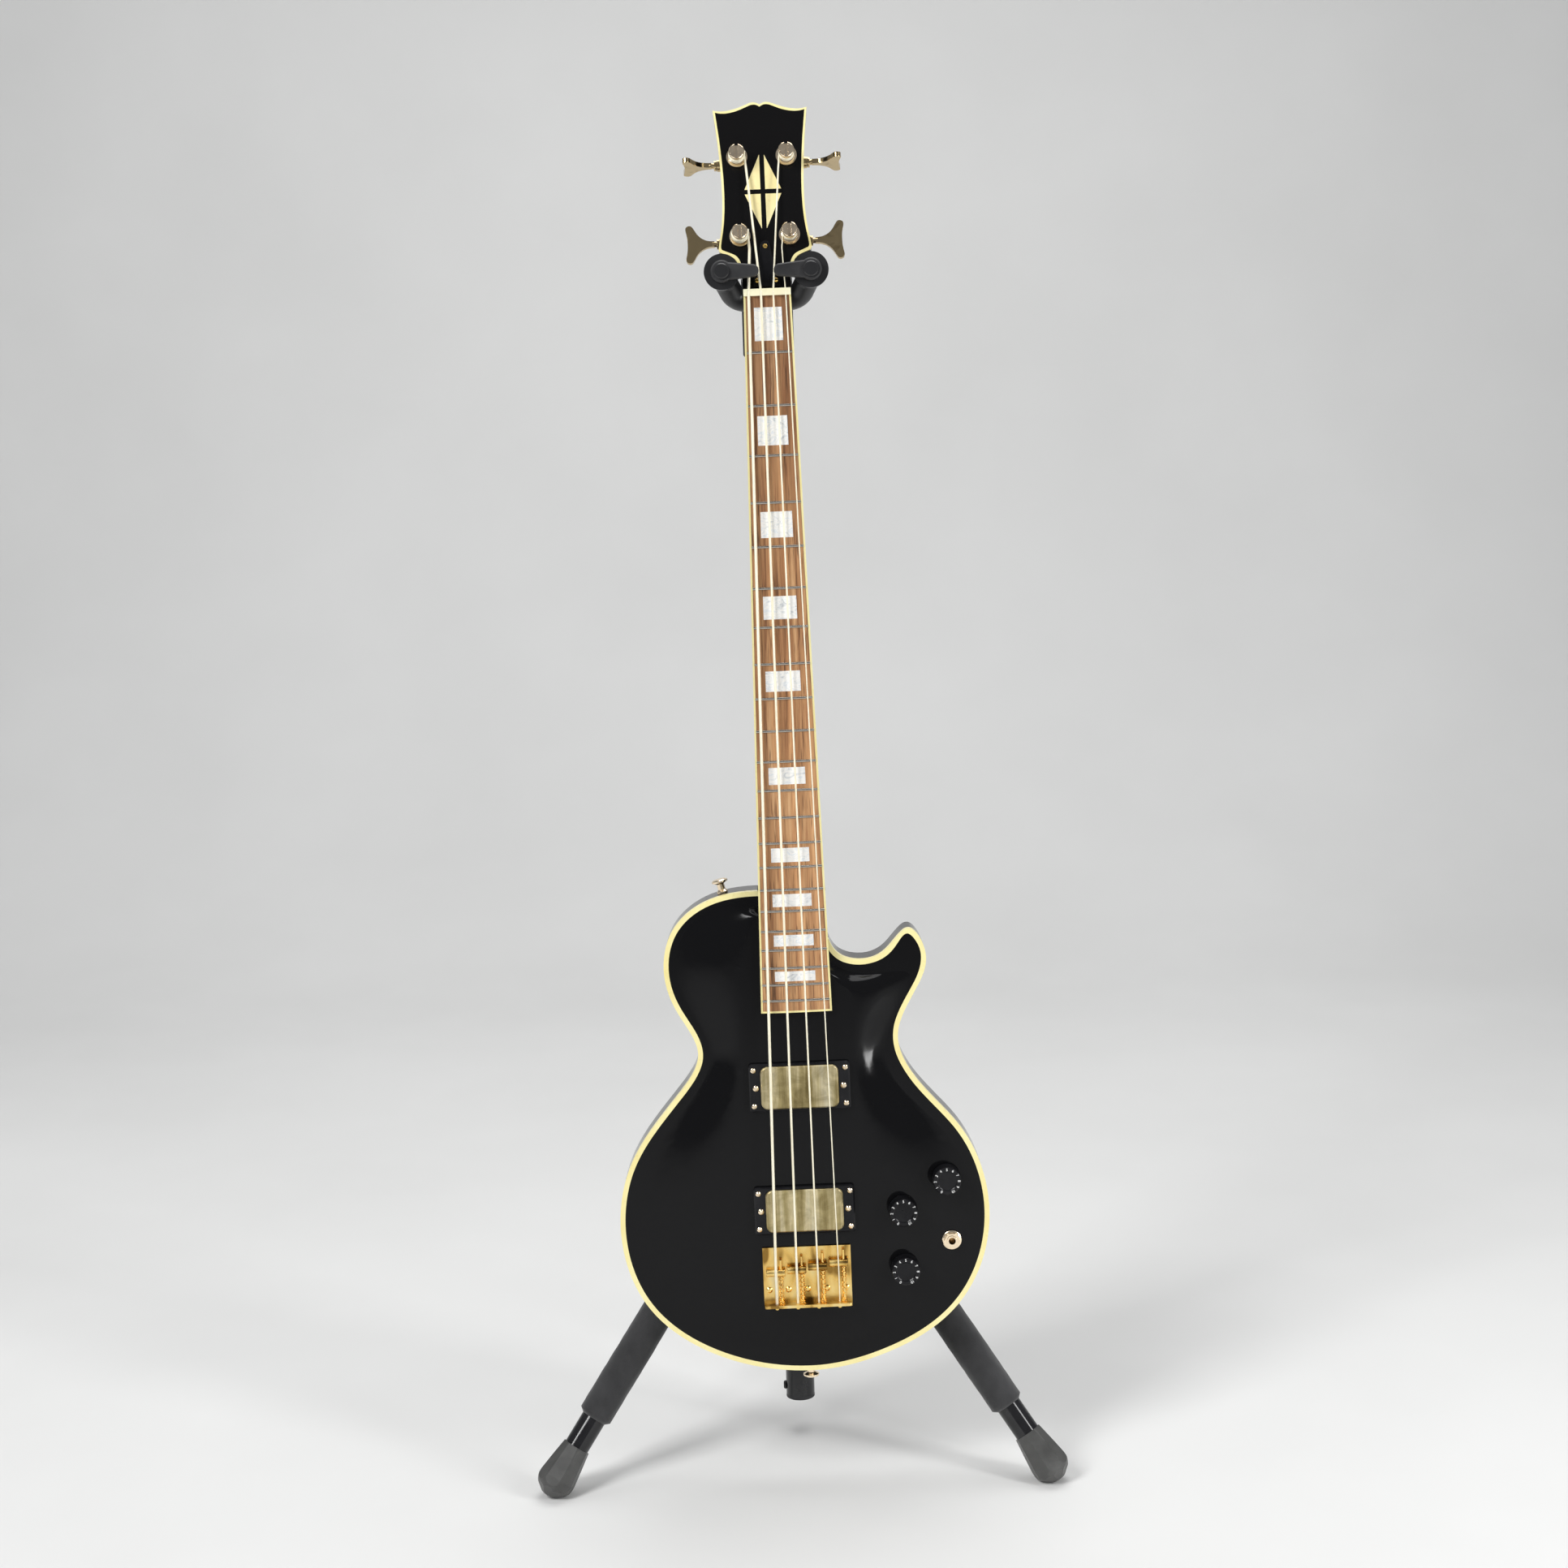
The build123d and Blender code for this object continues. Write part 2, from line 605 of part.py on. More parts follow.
def neck_blank(outline):
    """Neck shaft with its heel, tenon and headstock, before anything is let into it."""
    def across(y, depth, square):
        plane = Plane(origin=(0, y, PLATEAU), x_dir=(1, 0, 0), z_dir=(0, -1, 0))
        return neck_section(plane, board_half(y) - NECK_INSET, depth, square).face()

    shaft = loft([
        across(HEEL_START, NECK_DEPTH_BODY, NECK_ROUND),
        across(fret_y(12), NECK_DEPTH_BODY - 0.4, NECK_ROUND),
        across(THROAT_Y, NECK_DEPTH_NUT, NECK_ROUND),
    ], ruled=True)
    heel = loft([
        across(HEEL_Y, HEEL_DEPTH, 0.9),
        across(HEEL_Y + 9, 0.78 * HEEL_DEPTH, 0.84),
        across(HEEL_Y + 24, 0.58 * HEEL_DEPTH, 0.78),
        across(HEEL_START, NECK_DEPTH_BODY, NECK_ROUND),
    ])
    into_head = Plane(origin=HEAD.from_local_coords((0, THROAT_H, 0)), x_dir=(1, 0, 0),
                      z_dir=-HEAD.y_dir)
    throat = loft([
        across(THROAT_Y, NECK_DEPTH_NUT, NECK_ROUND),
        neck_section(into_head, BOARD_NUT_WIDTH / 2 + 0.6, HEAD_THICK, 0.93).face(),
    ], ruled=True)
    plate = HEAD.location * (prism(outline, -HEAD_THICK, 0) - slab(-60, 60, -60, THROAT_H - 4, -60, 60))
    block_half = board_half(HEEL_Y) - NECK_INSET
    block = slab(-block_half, block_half, HEEL_BLOCK_END, HEEL_Y, PLATEAU - HEEL_DEPTH, PLATEAU)
    block = fillet(block.edges().filter_by(Axis.Y).group_by(Axis.Z)[0], 4)
    tenon = slab(-TENON_WIDTH / 2, TENON_WIDTH / 2, TENON_END, HEEL_BLOCK_END,
                 PLATEAU - HEEL_DEPTH, PLATEAU)
    return shaft + heel + throat + plate + block + tenon


def board_wedge(trim, low, high):
    """Tapered plank of the fretboard, trimmed at its sides."""
    end = -BOARD_LENGTH
    near, far = board_half(0) - trim, board_half(end) - trim
    face = make_face(Polyline((-near, 0), (near, 0), (far, end), (-far, end), close=True))
    return prism(face, low, high)


def crown_cylinder(radius):
    """Cylinder along the neck that the fretboard's top belongs to."""
    axis = Plane(origin=(0, 20, BOARD_TOP - BOARD_RADIUS), z_dir=(0, -1, 0))
    return axis.location * Cylinder(radius, BOARD_LENGTH + 40, align=MIN_UP)


def inlay_blocks():
    """Blocks between frets, tapering with the board."""
    blocks = []
    for n in INLAY_FRETS:
        low, high = fret_y(n), fret_y(n - 1)
        middle = (low + high) / 2
        half = INLAY_LENGTH_SHARE * (high - low) / 2
        near = INLAY_WIDTH_SHARE * board_half(middle + half)
        far = INLAY_WIDTH_SHARE * board_half(middle - half)
        face = make_face(Polyline((-near, middle + half), (near, middle + half),
                                  (far, middle - half), (-far, middle - half), close=True))
        blocks.append(prism(face, BOARD_TOP - INLAY_DEPTH - 0.5, BOARD_TOP + 1))
    return Compound(blocks)


def fret(n):
    """Crowned fret bent to the board's radius."""
    half = board_half(fret_y(n)) - BOARD_BINDING
    y, z = fret_y(n), BOARD_TOP
    crown = make_face([
        Line((0, y - FRET_WIDTH / 2, z), (0, y + FRET_WIDTH / 2, z)),
        ThreePointArc((0, y + FRET_WIDTH / 2, z), (0, y, z + FRET_HEIGHT), (0, y - FRET_WIDTH / 2, z)),
    ])
    swing = degrees(asin(half / BOARD_RADIUS))
    axis = Axis((0, 0, BOARD_TOP - BOARD_RADIUS), (0, 1, 0))
    return revolve(crown.rotate(axis, -swing), axis=axis, revolution_arc=2 * swing)


def nut_blank():
    """Nut before its slots, crowned like the board."""
    half = BOARD_NUT_WIDTH / 2
    block = slab(-half, half, 0, NUT_THICK, PLATEAU, NUT_STRING_Z + 3)
    rise = NUT_STRING_Z + NUT_PROUD - BOARD_TOP
    axis = Plane(origin=(0, 20, BOARD_TOP - BOARD_RADIUS), z_dir=(0, -1, 0))
    return block & (axis.location * Cylinder(BOARD_RADIUS + rise, 60, align=MIN_UP))


def head_inlay():
    """Lozenge in four quarters, let into the headstock's face."""
    low, high = LOZENGE_ENDS
    middle = (low + high) / 2
    lozenge = make_face(Polyline((0, low), (LOZENGE_HALF, middle), (0, high), (-LOZENGE_HALF, middle),
                                 close=True))
    half = LOZENGE_GAP / 2
    gaps = [slab(-half, half, low - 1, high + 1, -2, 1),
            slab(-LOZENGE_HALF, LOZENGE_HALF, middle - half, middle + half, -2, 1)]
    return prism(lozenge, -LOZENGE_DEPTH, 0) - gaps


def rod_cover():
    """Bell-shaped cover over the end of the truss rod."""
    half = COVER_WIDTH / 2
    right = Spline((half, COVER_H), (0.95 * half, COVER_H + 0.22 * COVER_LENGTH),
                   (0.56 * half, COVER_H + 0.6 * COVER_LENGTH), (0.4 * half, COVER_H + 0.86 * COVER_LENGTH),
                   (0, COVER_H + COVER_LENGTH), tangents=[(0, 1), (-1, 0)])
    face = make_face([right, mirror(right, Plane.YZ), Line((-half, COVER_H), (half, COVER_H))])
    return prism(face, 0, COVER_THICK)


def cover_screws():
    """Places of the truss rod cover's screws: two at its foot and one near its tip."""
    foot, tip = COVER_H + 0.13 * COVER_LENGTH, COVER_H + 0.88 * COVER_LENGTH
    return [(-0.7 * COVER_WIDTH / 2, foot), (0.7 * COVER_WIDTH / 2, foot), (0, tip)]


# Machine heads, in the headstock's own frame

def tuner_bushing(k):
    """Flanged bushing that guides a string post."""
    _, x, h = post_place(k)
    sleeve = cyl(BUSH_RADIUS, -HEAD_THICK, 0, (x, h)) + cyl(BUSH_FLANGE_RADIUS, 0, BUSH_FLANGE, (x, h))
    return sleeve - cyl(POST_RADIUS + RUNNING, -HEAD_THICK - 1, BUSH_FLANGE + 1, (x, h))


def string_post(k):
    """Slotted post with a waist for the windings."""
    _, x, h = post_place(k)
    foot = -HEAD_THICK - POST_FOOT
    seat = BUSH_FLANGE + RUNNING
    flare = POST_HEIGHT - POST_HEAD
    post = turned([
        (0, foot), (POST_RADIUS, foot), (POST_RADIUS, seat), (POST_HEAD_RADIUS, seat),
        (POST_RADIUS, WRAP_BASE - 0.2), (POST_RADIUS, flare), (POST_HEAD_RADIUS, flare + 1.2),
        (POST_HEAD_RADIUS, POST_HEIGHT - 0.8), (POST_HEAD_RADIUS - 0.8, POST_HEIGHT), (0, POST_HEIGHT),
    ])
    post -= slab(-POST_SLOT / 2, POST_SLOT / 2, -20, 20, flare + 0.6, POST_HEIGHT + 1)
    return Pos(x, h) * post


def tuner_housing(k):
    """Closed gear housing on the headstock's back, with the barrel of the worm and a screw lug."""
    side, x, h = post_place(k)
    back = -HEAD_THICK
    case = cyl(HOUSING_RADIUS, back - HOUSING_DEPTH, back, (x, h))
    case = chamfer(case.edges().group_by(Axis.Z)[0], 2)
    axis_z = back - WORM_BACK
    end = side * (POST_X + HOUSING_REACH)
    case += bar(BARREL_RADIUS, (x, h + WORM_H, axis_z), (end, h + WORM_H, axis_z))
    lug_h = h - HOUSING_RADIUS - 2
    case += cyl(LUG_RADIUS, back - LUG_THICK, back, (x, lug_h))
    case += slab(x - LUG_RADIUS, x + LUG_RADIUS, lug_h, h, back - LUG_THICK, back)
    case -= cyl(POST_RADIUS + RUNNING, back - POST_FOOT - 0.5, back + 1, (x, h))
    inner = end - side * WORM_DEPTH
    case -= bar(WORM_RADIUS + RUNNING, (inner, h + WORM_H, axis_z), (end + side, h + WORM_H, axis_z))
    return case


def key_outline():
    """Flat of a tuner key: a narrow stem that flares into a fishtail with a slightly hollow end."""
    reach = KEY_TIP_X - POST_X - HOUSING_REACH
    stem = reach - KEY_LENGTH
    ear = KEY_HEIGHT / 2
    upper = Spline(
        (stem, KEY_STEM), (stem + 0.22 * KEY_LENGTH, 1.2 * KEY_STEM),
        (reach - 0.5 * KEY_LENGTH, 0.38 * ear), (reach - 0.3 * KEY_LENGTH, 0.78 * ear),
        (reach - 0.16 * KEY_LENGTH, ear), (reach - 0.02 * KEY_LENGTH, 0.93 * ear),
        (reach - 0.02 * KEY_LENGTH, 0.6 * ear), (reach - 0.06 * KEY_LENGTH, 0),
        tangents=[(1, 0), (0, -1)], tangent_scalars=(1, 1),
    )
    return make_face([upper, mirror(upper, Plane.XZ), Line((stem, -KEY_STEM), (stem, KEY_STEM))])


def tuner_key(k):
    """Key with its collar and worm shaft; it lies along x with its barrel's mouth at the origin."""
    side, _, h = post_place(k)
    key = prism(key_outline(), -KEY_THICK / 2, KEY_THICK / 2)
    stem = KEY_TIP_X - POST_X - HOUSING_REACH - KEY_LENGTH + 2
    key += bar(WORM_RADIUS, (0.5 - WORM_DEPTH, 0, 0), (stem, 0, 0))
    key += bar(COLLAR_RADIUS, (COLLAR_CLEAR, 0, 0), (COLLAR_CLEAR + COLLAR_LENGTH, 0, 0))
    axis_z = -HEAD_THICK - WORM_BACK
    mouth = Pos(side * (POST_X + HOUSING_REACH), h + WORM_H, axis_z)
    return mouth * Rot(0, 0, 0 if side > 0 else 180) * Rot(KEY_TURNS[k], 0, 0) * key


# Strings

def string_solid(k):
    """One string from its ball end over saddle and nut, wound on its post; prints the winding's gap."""
    radius = STRING_RADII[k]
    x, y, z = string_rest(k)
    nut_x = string_x(k, NUT_SPREAD)
    side, post_x, post_h = post_place(k)
    wrap_radius = POST_RADIUS + WRAP_CLEAR + radius
    pitch = 2 * radius + WRAP_GAP
    wrap = Plane(origin=HEAD.from_local_coords((post_x, post_h, WRAP_BASE + radius)),
                 x_dir=HEAD.x_dir, z_dir=HEAD.z_dir)
    start = 0 if side < 0 else pi
    coil, (first, heading), (last, ending) = coil_edges(wrap, wrap_radius, pitch, start, -side,
                                                        2 * WRAP_TURNS)
    lead = first - heading * LEAD_LENGTH
    ball_y = BRIDGE_REAR - sqrt(BALL_RADIUS ** 2 - (radius + LIP_HOLE) ** 2) - 0.02
    points = [
        (x, ball_y, ANCHOR_Z),
        (x, y - SADDLE_BREAK, z),
        (nut_x, NUT_THICK / 2, crowned(nut_x, NUT_STRING_Z)),
        tuple(lead),
    ]
    run = rounded(points, STRING_BEND)
    arriving = (run[-1] % 1).normalized()
    joint = biarc(lead, arriving, first, heading)
    tail = Line(last, last + ending * (2 * radius))
    print("string", STRING_NAMES[k], "least gap between turns",
          round(least_gap(coil, radius, pitch), 2), "mm")
    wire = tube_along(run + joint + coil + [tail], radius)
    return wire + Pos(x, ball_y, ANCHOR_Z) * Sphere(BALL_RADIUS)


# Pickups

def pickup(y):
    """Metal cover with rounded corners on a base plate that the height screws carry."""
    cover = Pos(0, y) * RectangleRounded(PICKUP_LENGTH, PICKUP_WIDTH, PICKUP_CORNER)
    solid = prism(cover, PICKUP_TOP_Z - PICKUP_DEPTH, PICKUP_TOP_Z)
    solid = chamfer(solid.edges().group_by(Axis.Z)[-1], 1.2)
    low = PICKUP_TOP_Z - PICKUP_DEPTH - BASE_THICK
    solid += slab(-BASE_LENGTH / 2, BASE_LENGTH / 2, y - TAB_WIDTH / 2, y + TAB_WIDTH / 2,
                  low, low + BASE_THICK)
    for x in (-HEIGHT_SCREW_X, HEIGHT_SCREW_X):
        solid -= cyl(HEIGHT_SCREW_RADIUS + RUNNING, low - 1, low + BASE_THICK + 1, (x, y))
    return solid


def pickup_ring(y):
    """Mounting ring with a bevelled top edge."""
    frame = prism(Pos(0, y) * RectangleRounded(RING_LENGTH, RING_WIDTH, 3), PLATEAU, PLATEAU + RING_HEIGHT)
    frame = chamfer(frame.edges().group_by(Axis.Z)[-1], 1.2)
    opening = RectangleRounded(PICKUP_LENGTH + 2 * PICKUP_GAP, PICKUP_WIDTH + 2 * PICKUP_GAP,
                               PICKUP_CORNER + PICKUP_GAP)
    return frame - prism(Pos(0, y) * opening, PLATEAU - 1, PLATEAU + RING_HEIGHT + 1)


def pickup_screw_set(y):
    """Two mounting screws and one height screw at each end of a ring."""
    top = PLATEAU + RING_HEIGHT
    solids = []
    for x in (-RING_SCREW_X, RING_SCREW_X):
        for dy in (-RING_SCREW_Y, RING_SCREW_Y):
            solids.append(Pos(x, y + dy, top) * screw(*RING_SCREW, RING_HEIGHT + SCREW_BITE))
    reach = top - (PICKUP_TOP_Z - PICKUP_DEPTH - BASE_THICK) + HEIGHT_SCREW_PAST
    for x in (-HEIGHT_SCREW_X, HEIGHT_SCREW_X):
        solids.append(Pos(x, y, top) * screw(*HEIGHT_SCREW_HEAD, HEIGHT_SCREW_RADIUS, reach))
    return solids


# Bridge

def saddle_axis(k):
    """Centre of a saddle barrel."""
    x, y, z = string_rest(k)
    return x, y, z - STRING_RADII[k] - SADDLE_CLEAR - SADDLE_RADIUS


def bridge_plate():
    """Bent plate: a flat base and an upright rear lip with holes for strings and screws."""
    half = BRIDGE_WIDTH / 2
    plate = slab(-half, half, BRIDGE_REAR, BRIDGE_FRONT, PLATEAU, PLATEAU + BRIDGE_THICK)
    lip = slab(-half, half, BRIDGE_REAR, BRIDGE_REAR + LIP_THICK, PLATEAU, PLATEAU + LIP_HEIGHT)
    lip = fillet(lip.edges().filter_by(Axis.Y).group_by(Axis.Z)[-1], 3)
    plate += lip
    for k in range(len(STRING_NAMES)):
        x, _, _ = string_rest(k)
        back, front = BRIDGE_REAR - 1, BRIDGE_REAR + LIP_THICK + 1
        plate -= bar(STRING_RADII[k] + LIP_HOLE, (x, back, ANCHOR_Z), (x, front, ANCHOR_Z))
        screw_x = x + INTONATION_X
        plate -= bar(INTONATION_RADIUS, (screw_x, back, INTONATION_Z), (screw_x, front, INTONATION_Z))
    return plate


def bridge_screw_xs():
    """Five wood screws in a row across the plate."""
    return [-BRIDGE_WIDTH / 2 + 5 + k * (BRIDGE_WIDTH - 10) / 4 for k in range(5)]


def saddle(k):
    """Barrel saddle on two grub screws, drilled for its intonation screw."""
    x, y, z = saddle_axis(k)
    half = SADDLE_LENGTH / 2
    solid = bar(SADDLE_RADIUS, (x - half, y, z), (x + half, y, z))
    solid = chamfer(solid.edges(), 0.5)
    for grub in (x - GRUB_X, x + GRUB_X):
        solid += cyl(GRUB_RADIUS, PLATEAU + BRIDGE_THICK, z + SADDLE_RADIUS - 0.2, (grub, y))
    screw_x = x + INTONATION_X
    return solid - bar(INTONATION_RADIUS + RUNNING, (screw_x, y - 10, INTONATION_Z),
                       (screw_x, y + 10, INTONATION_Z))


def intonation_screw(k):
    """Long screw through the lip into its saddle."""
    x, y, _ = string_rest(k)
    x += INTONATION_X
    shaft = bar(INTONATION_RADIUS, (x, BRIDGE_REAR, INTONATION_Z), (x, y + INTONATION_REACH, INTONATION_Z))
    head = bar(INTONATION_HEAD, (x, BRIDGE_REAR - 2, INTONATION_Z), (x, BRIDGE_REAR, INTONATION_Z))
    return shaft + head


def saddle_spring(k):
    """Compression spring between the lip and its saddle; prints the gap between turns."""
    x, y, _ = saddle_axis(k)
    rear = BRIDGE_REAR + LIP_THICK + SPRING_WIRE + SPRING_SEAT
    front = y - SADDLE_RADIUS - SPRING_WIRE - SPRING_SEAT
    pitch = (front - rear) / SPRING_TURNS
    base = Plane(origin=(x + INTONATION_X, rear, INTONATION_Z), x_dir=(1, 0, 0), z_dir=(0, 1, 0))
    edges, _, _ = coil_edges(base, SPRING_RADIUS, pitch, 0, 1, 2 * SPRING_TURNS)
    print("spring", STRING_NAMES[k], "least gap between turns",
          round(least_gap(edges, SPRING_WIRE, pitch), 2), "mm")
    return tube_along(edges, SPRING_WIRE)


# Controls

def knob(place, base):
    """Barrel knob with a hollow underside, and the shaft that carries it."""
    bottom = base + KNOB_FLOAT
    top = bottom + KNOB_HEIGHT
    shell = turned([
        (SHAFT_RADIUS, bottom + KNOB_HOLLOW), (KNOB_RADIUS - 3, bottom + KNOB_HOLLOW),
        (KNOB_RADIUS - 2, bottom), (KNOB_RADIUS, bottom), (KNOB_TOP_RADIUS, top - 0.8),
        (KNOB_TOP_RADIUS - 0.8, top), (KNOB_DISH, top), (KNOB_DISH - 0.8, top - 0.6), (0, top - 0.6),
        (0, top - 2), (SHAFT_RADIUS, top - 2),
    ])
    shaft = cyl(SHAFT_RADIUS, CAVITY_ROOF - SHAFT_FOOT, top - 2)
    return Pos(*place) * Compound([*shell.solids(), *shaft.solids()])


def potentiometer(place, base):
    """Casing under the top and the bushing that comes up through it."""
    low = CAVITY_ROOF - POT_HEIGHT
    pot = cyl(POT_RADIUS, low, CAVITY_ROOF) + cyl(POT_BUSH_RADIUS, CAVITY_ROOF, base + BUSH_RISE)
    return Pos(*place) * (pot - cyl(SHAFT_RADIUS + RUNNING, CAVITY_ROOF - SHAFT_FOOT - 0.5, base + 3))


def output_jack(base):
    """Panel jack: threaded barrel through the top, washer and hexagonal nut."""
    rise = base + JACK_RISE
    barrel = cyl(JACK_BARREL_RADIUS, CAVITY_ROOF, rise)
    barrel += cyl(JACK_BODY_RADIUS, CAVITY_ROOF - JACK_BODY, CAVITY_ROOF)
    barrel -= cyl(JACK_BORE_RADIUS, rise - JACK_BORE_LENGTH, rise + 1)
    washer = turned([
        (JACK_BARREL_RADIUS, base), (JACK_WASHER_RADIUS, base), (JACK_WASHER_RADIUS, base + 0.8),
        (JACK_WASHER_RADIUS - 1.4, base + 1.5), (JACK_BARREL_RADIUS, base + 1.5),
    ])
    hexagon = RegularPolygon(JACK_NUT_ACROSS / 2, 6, major_radius=False)
    nut = prism(hexagon - Circle(JACK_BARREL_RADIUS), base + 1.5, rise - 1)
    return Pos(*JACK_PLACE) * Compound([*barrel.solids(), *washer.solids(), *nut.solids()])


def strap_button(place, heading):
    """Button with a waist, standing on the body's side."""
    button = turned([
        (0, -STRAP_SEAT), (STRAP_FOOT, -STRAP_SEAT), (STRAP_FOOT, 0.1 * STRAP_RISE),
        (STRAP_WAIST, 0.25 * STRAP_RISE), (STRAP_WAIST, 0.65 * STRAP_RISE), (STRAP_HEAD, 0.8 * STRAP_RISE),
        (STRAP_HEAD, 0.92 * STRAP_RISE), (0.78 * STRAP_HEAD, STRAP_RISE), (0, STRAP_RISE),
    ])
    return Plane(Vector(*place), z_dir=Vector(*heading)).location * button


def strap_buttons():
    """One button on the shoulder, square to the outline, and one at the tail."""
    left, _ = body_edges()
    spot = left @ STRAP_SHARE
    along = (left % STRAP_SHARE).normalized()
    middle = -BODY_THICK / 2
    upper = strap_button((spot.X, spot.Y, middle), (along.Y, -along.X, 0))
    return [upper, strap_button((0, TAIL_Y, middle), (0, -1, 0))]


# Stand, with the post's axis at the origin

def leg_frame(name):
    """Frame of a leg: origin on its hinge, -Z down the leg, hinge along Y."""
    return Rot(0, 0, LEG_AZIMUTHS[name]) * Pos(HINGE_R, 0, HINGE_Z) * Rot(0, -leg_lean(), 0)


def leg_lean():
    """Angle of a leg from the upright."""
    return degrees(atan2(FOOT_REACH - HINGE_R, HINGE_Z - FOOT_RADIUS + FOOT_FLAT))


def leg_length():
    """Hinge to the middle of the foot's bulb."""
    return hypot(FOOT_REACH - HINGE_R, HINGE_Z - FOOT_RADIUS + FOOT_FLAT)


def foot_top():
    """Upper end of a foot, down the leg from its hinge."""
    return leg_length() + FOOT_RADIUS - FOOT_LENGTH


def leg_tube():
    """Leg tube with a flat tang at its hinge end."""
    tube = cyl(LEG_OUTER, -leg_length(), -LEG_START) - cyl(LEG_OUTER - LEG_WALL, -leg_length() - 1,
                                                          -LEG_START - TANG_PLUG)
    tang = slab(-TANG_RADIUS, TANG_RADIUS, -TANG_WIDTH / 2, TANG_WIDTH / 2, -LEG_START, 0)
    tang += bar(TANG_RADIUS, (0, -TANG_WIDTH / 2, 0), (0, TANG_WIDTH / 2, 0))
    tang -= bar(PIN_RADIUS + RUNNING, (0, -TANG_WIDTH, 0), (0, TANG_WIDTH, 0))
    return tube + tang


def leg_foam():
    """Foam sleeve over a front leg."""
    end = -(foot_top() - BARE_LENGTH)
    sleeve = cyl(FOAM_OUTER, end, -FOAM_START)
    sleeve = fillet(sleeve.edges(), 2.5)
    return sleeve - cyl(LEG_OUTER, end - 1, -FOAM_START + 1)


def foot_flats():
    """Eight-sided envelope of a foot; the lower flats slope so that one of them lies on the floor."""
    middle = -leg_length()
    lean = radians(leg_lean())
    under = FOOT_RADIUS - FOOT_FLAT + 0.1
    drop = (under - FOOT_FLAT_R * sin(lean)) / cos(lean)
    tip = (under - FOOT_RADIUS * cos(lean)) / sin(lean)
    rings = [(-foot_top(), FOOT_FLAT_TOP), (middle, FOOT_FLAT_R), (middle - drop, FOOT_FLAT_R),
             (middle - FOOT_RADIUS, tip)]
    sections = []
    for height, radius in rings:
        ring = RegularPolygon(radius, FOOT_SIDES, major_radius=False, rotation=180 / FOOT_SIDES)
        sections.append((Pos(0, 0, height) * ring).face())
    return loft(sections, ruled=True)


def leg_foot():
    """Bulbous rubber foot with flats, narrowing into a collar on the leg."""
    middle, top = -leg_length(), -foot_top()
    low = middle - FOOT_RADIUS
    slant = FOOT_RADIUS * sqrt(0.5)
    profile = [
        ThreePointArc((0, 0, low), (slant, 0, middle - slant), (FOOT_RADIUS, 0, middle)),
        Line((FOOT_RADIUS, 0, middle), (FOOT_COLLAR, 0, top)),
        Line((FOOT_COLLAR, 0, top), (0, 0, top)),
        Line((0, 0, top), (0, 0, low)),
    ]
    bulb = revolve(make_face(profile), Axis.Z) & foot_flats()
    return bulb - cyl(LEG_OUTER, middle, top + 1)


def leg_hub():
    """Collar on the lower tube with a pair of ears for each leg."""
    hub = cyl(HUB_RADIUS, HINGE_Z - HUB_BELOW, HINGE_Z + HUB_ABOVE)
    hub = chamfer(hub.edges(), 1.5)
    near = TANG_WIDTH / 2 + EAR_CLEAR
    far = near + EAR_THICK
    for azimuth in LEG_AZIMUTHS.values():
        for low, high in ((near, far), (-far, -near)):
            ear = slab(0, HINGE_R, low, high, HINGE_Z - EAR_RADIUS, HINGE_Z + EAR_RADIUS)
            ear += bar(EAR_RADIUS, (HINGE_R, low, HINGE_Z), (HINGE_R, high, HINGE_Z))
            ear -= bar(PIN_RADIUS, (HINGE_R, low - 1, HINGE_Z), (HINGE_R, high + 1, HINGE_Z))
            hub += Rot(0, 0, azimuth) * ear
    return hub - cyl(POST_OUTER, HINGE_Z - HUB_BELOW - 1, HINGE_Z + HUB_ABOVE + 1)


def leg_pins():
    """Hinge pins with a head at each end."""
    far = TANG_WIDTH / 2 + EAR_CLEAR + EAR_THICK
    pin = bar(PIN_RADIUS, (HINGE_R, -far, HINGE_Z), (HINGE_R, far, HINGE_Z))
    for low, high in ((-far - 1.6, -far), (far, far + 1.6)):
        pin += bar(1.6 * PIN_RADIUS, (HINGE_R, low, HINGE_Z), (HINGE_R, high, HINGE_Z))
    return Compound([s for a in LEG_AZIMUTHS.values() for s in (Rot(0, 0, a) * pin).solids()])


def lower_tube():
    """Outer tube of the post."""
    tube = cyl(POST_OUTER, POST_FOOT_Z, LOWER_TUBE_TOP)
    return tube - cyl(POST_OUTER - POST_WALL, POST_FOOT_Z - 1, LOWER_TUBE_TOP + 1)


def end_cap():
    """Plug in the lower end of the post and the screw that holds it from the side."""
    inner = POST_OUTER - POST_WALL
    cap = cyl(POST_OUTER, POST_FOOT_Z - CAP_THICK, POST_FOOT_Z)
    cap += cyl(inner, POST_FOOT_Z, POST_FOOT_Z + CAP_PLUG)
    level = POST_FOOT_Z + CAP_PLUG / 2
    cap += bar(CAP_SCREW_RADIUS, (0, 0, level), (-POST_OUTER - CAP_SCREW_HEAD, 0, level))
    head = bar(2 * CAP_SCREW_RADIUS, (-POST_OUTER - CAP_SCREW_HEAD, 0, level), (-POST_OUTER, 0, level))
    return cap + chamfer(head.edges().group_by(Axis.X)[0], 1)


def upper_tube(top):
    """Inner tube with a guide collar at its foot."""
    tube = cyl(UPPER_OUTER, UPPER_TUBE_FOOT, top)
    tube += cyl(POST_OUTER - POST_WALL - RUNNING, UPPER_TUBE_FOOT, UPPER_TUBE_FOOT + GUIDE_LENGTH)
    return tube - cyl(UPPER_OUTER - UPPER_WALL, UPPER_TUBE_FOOT - 1, top + 1)


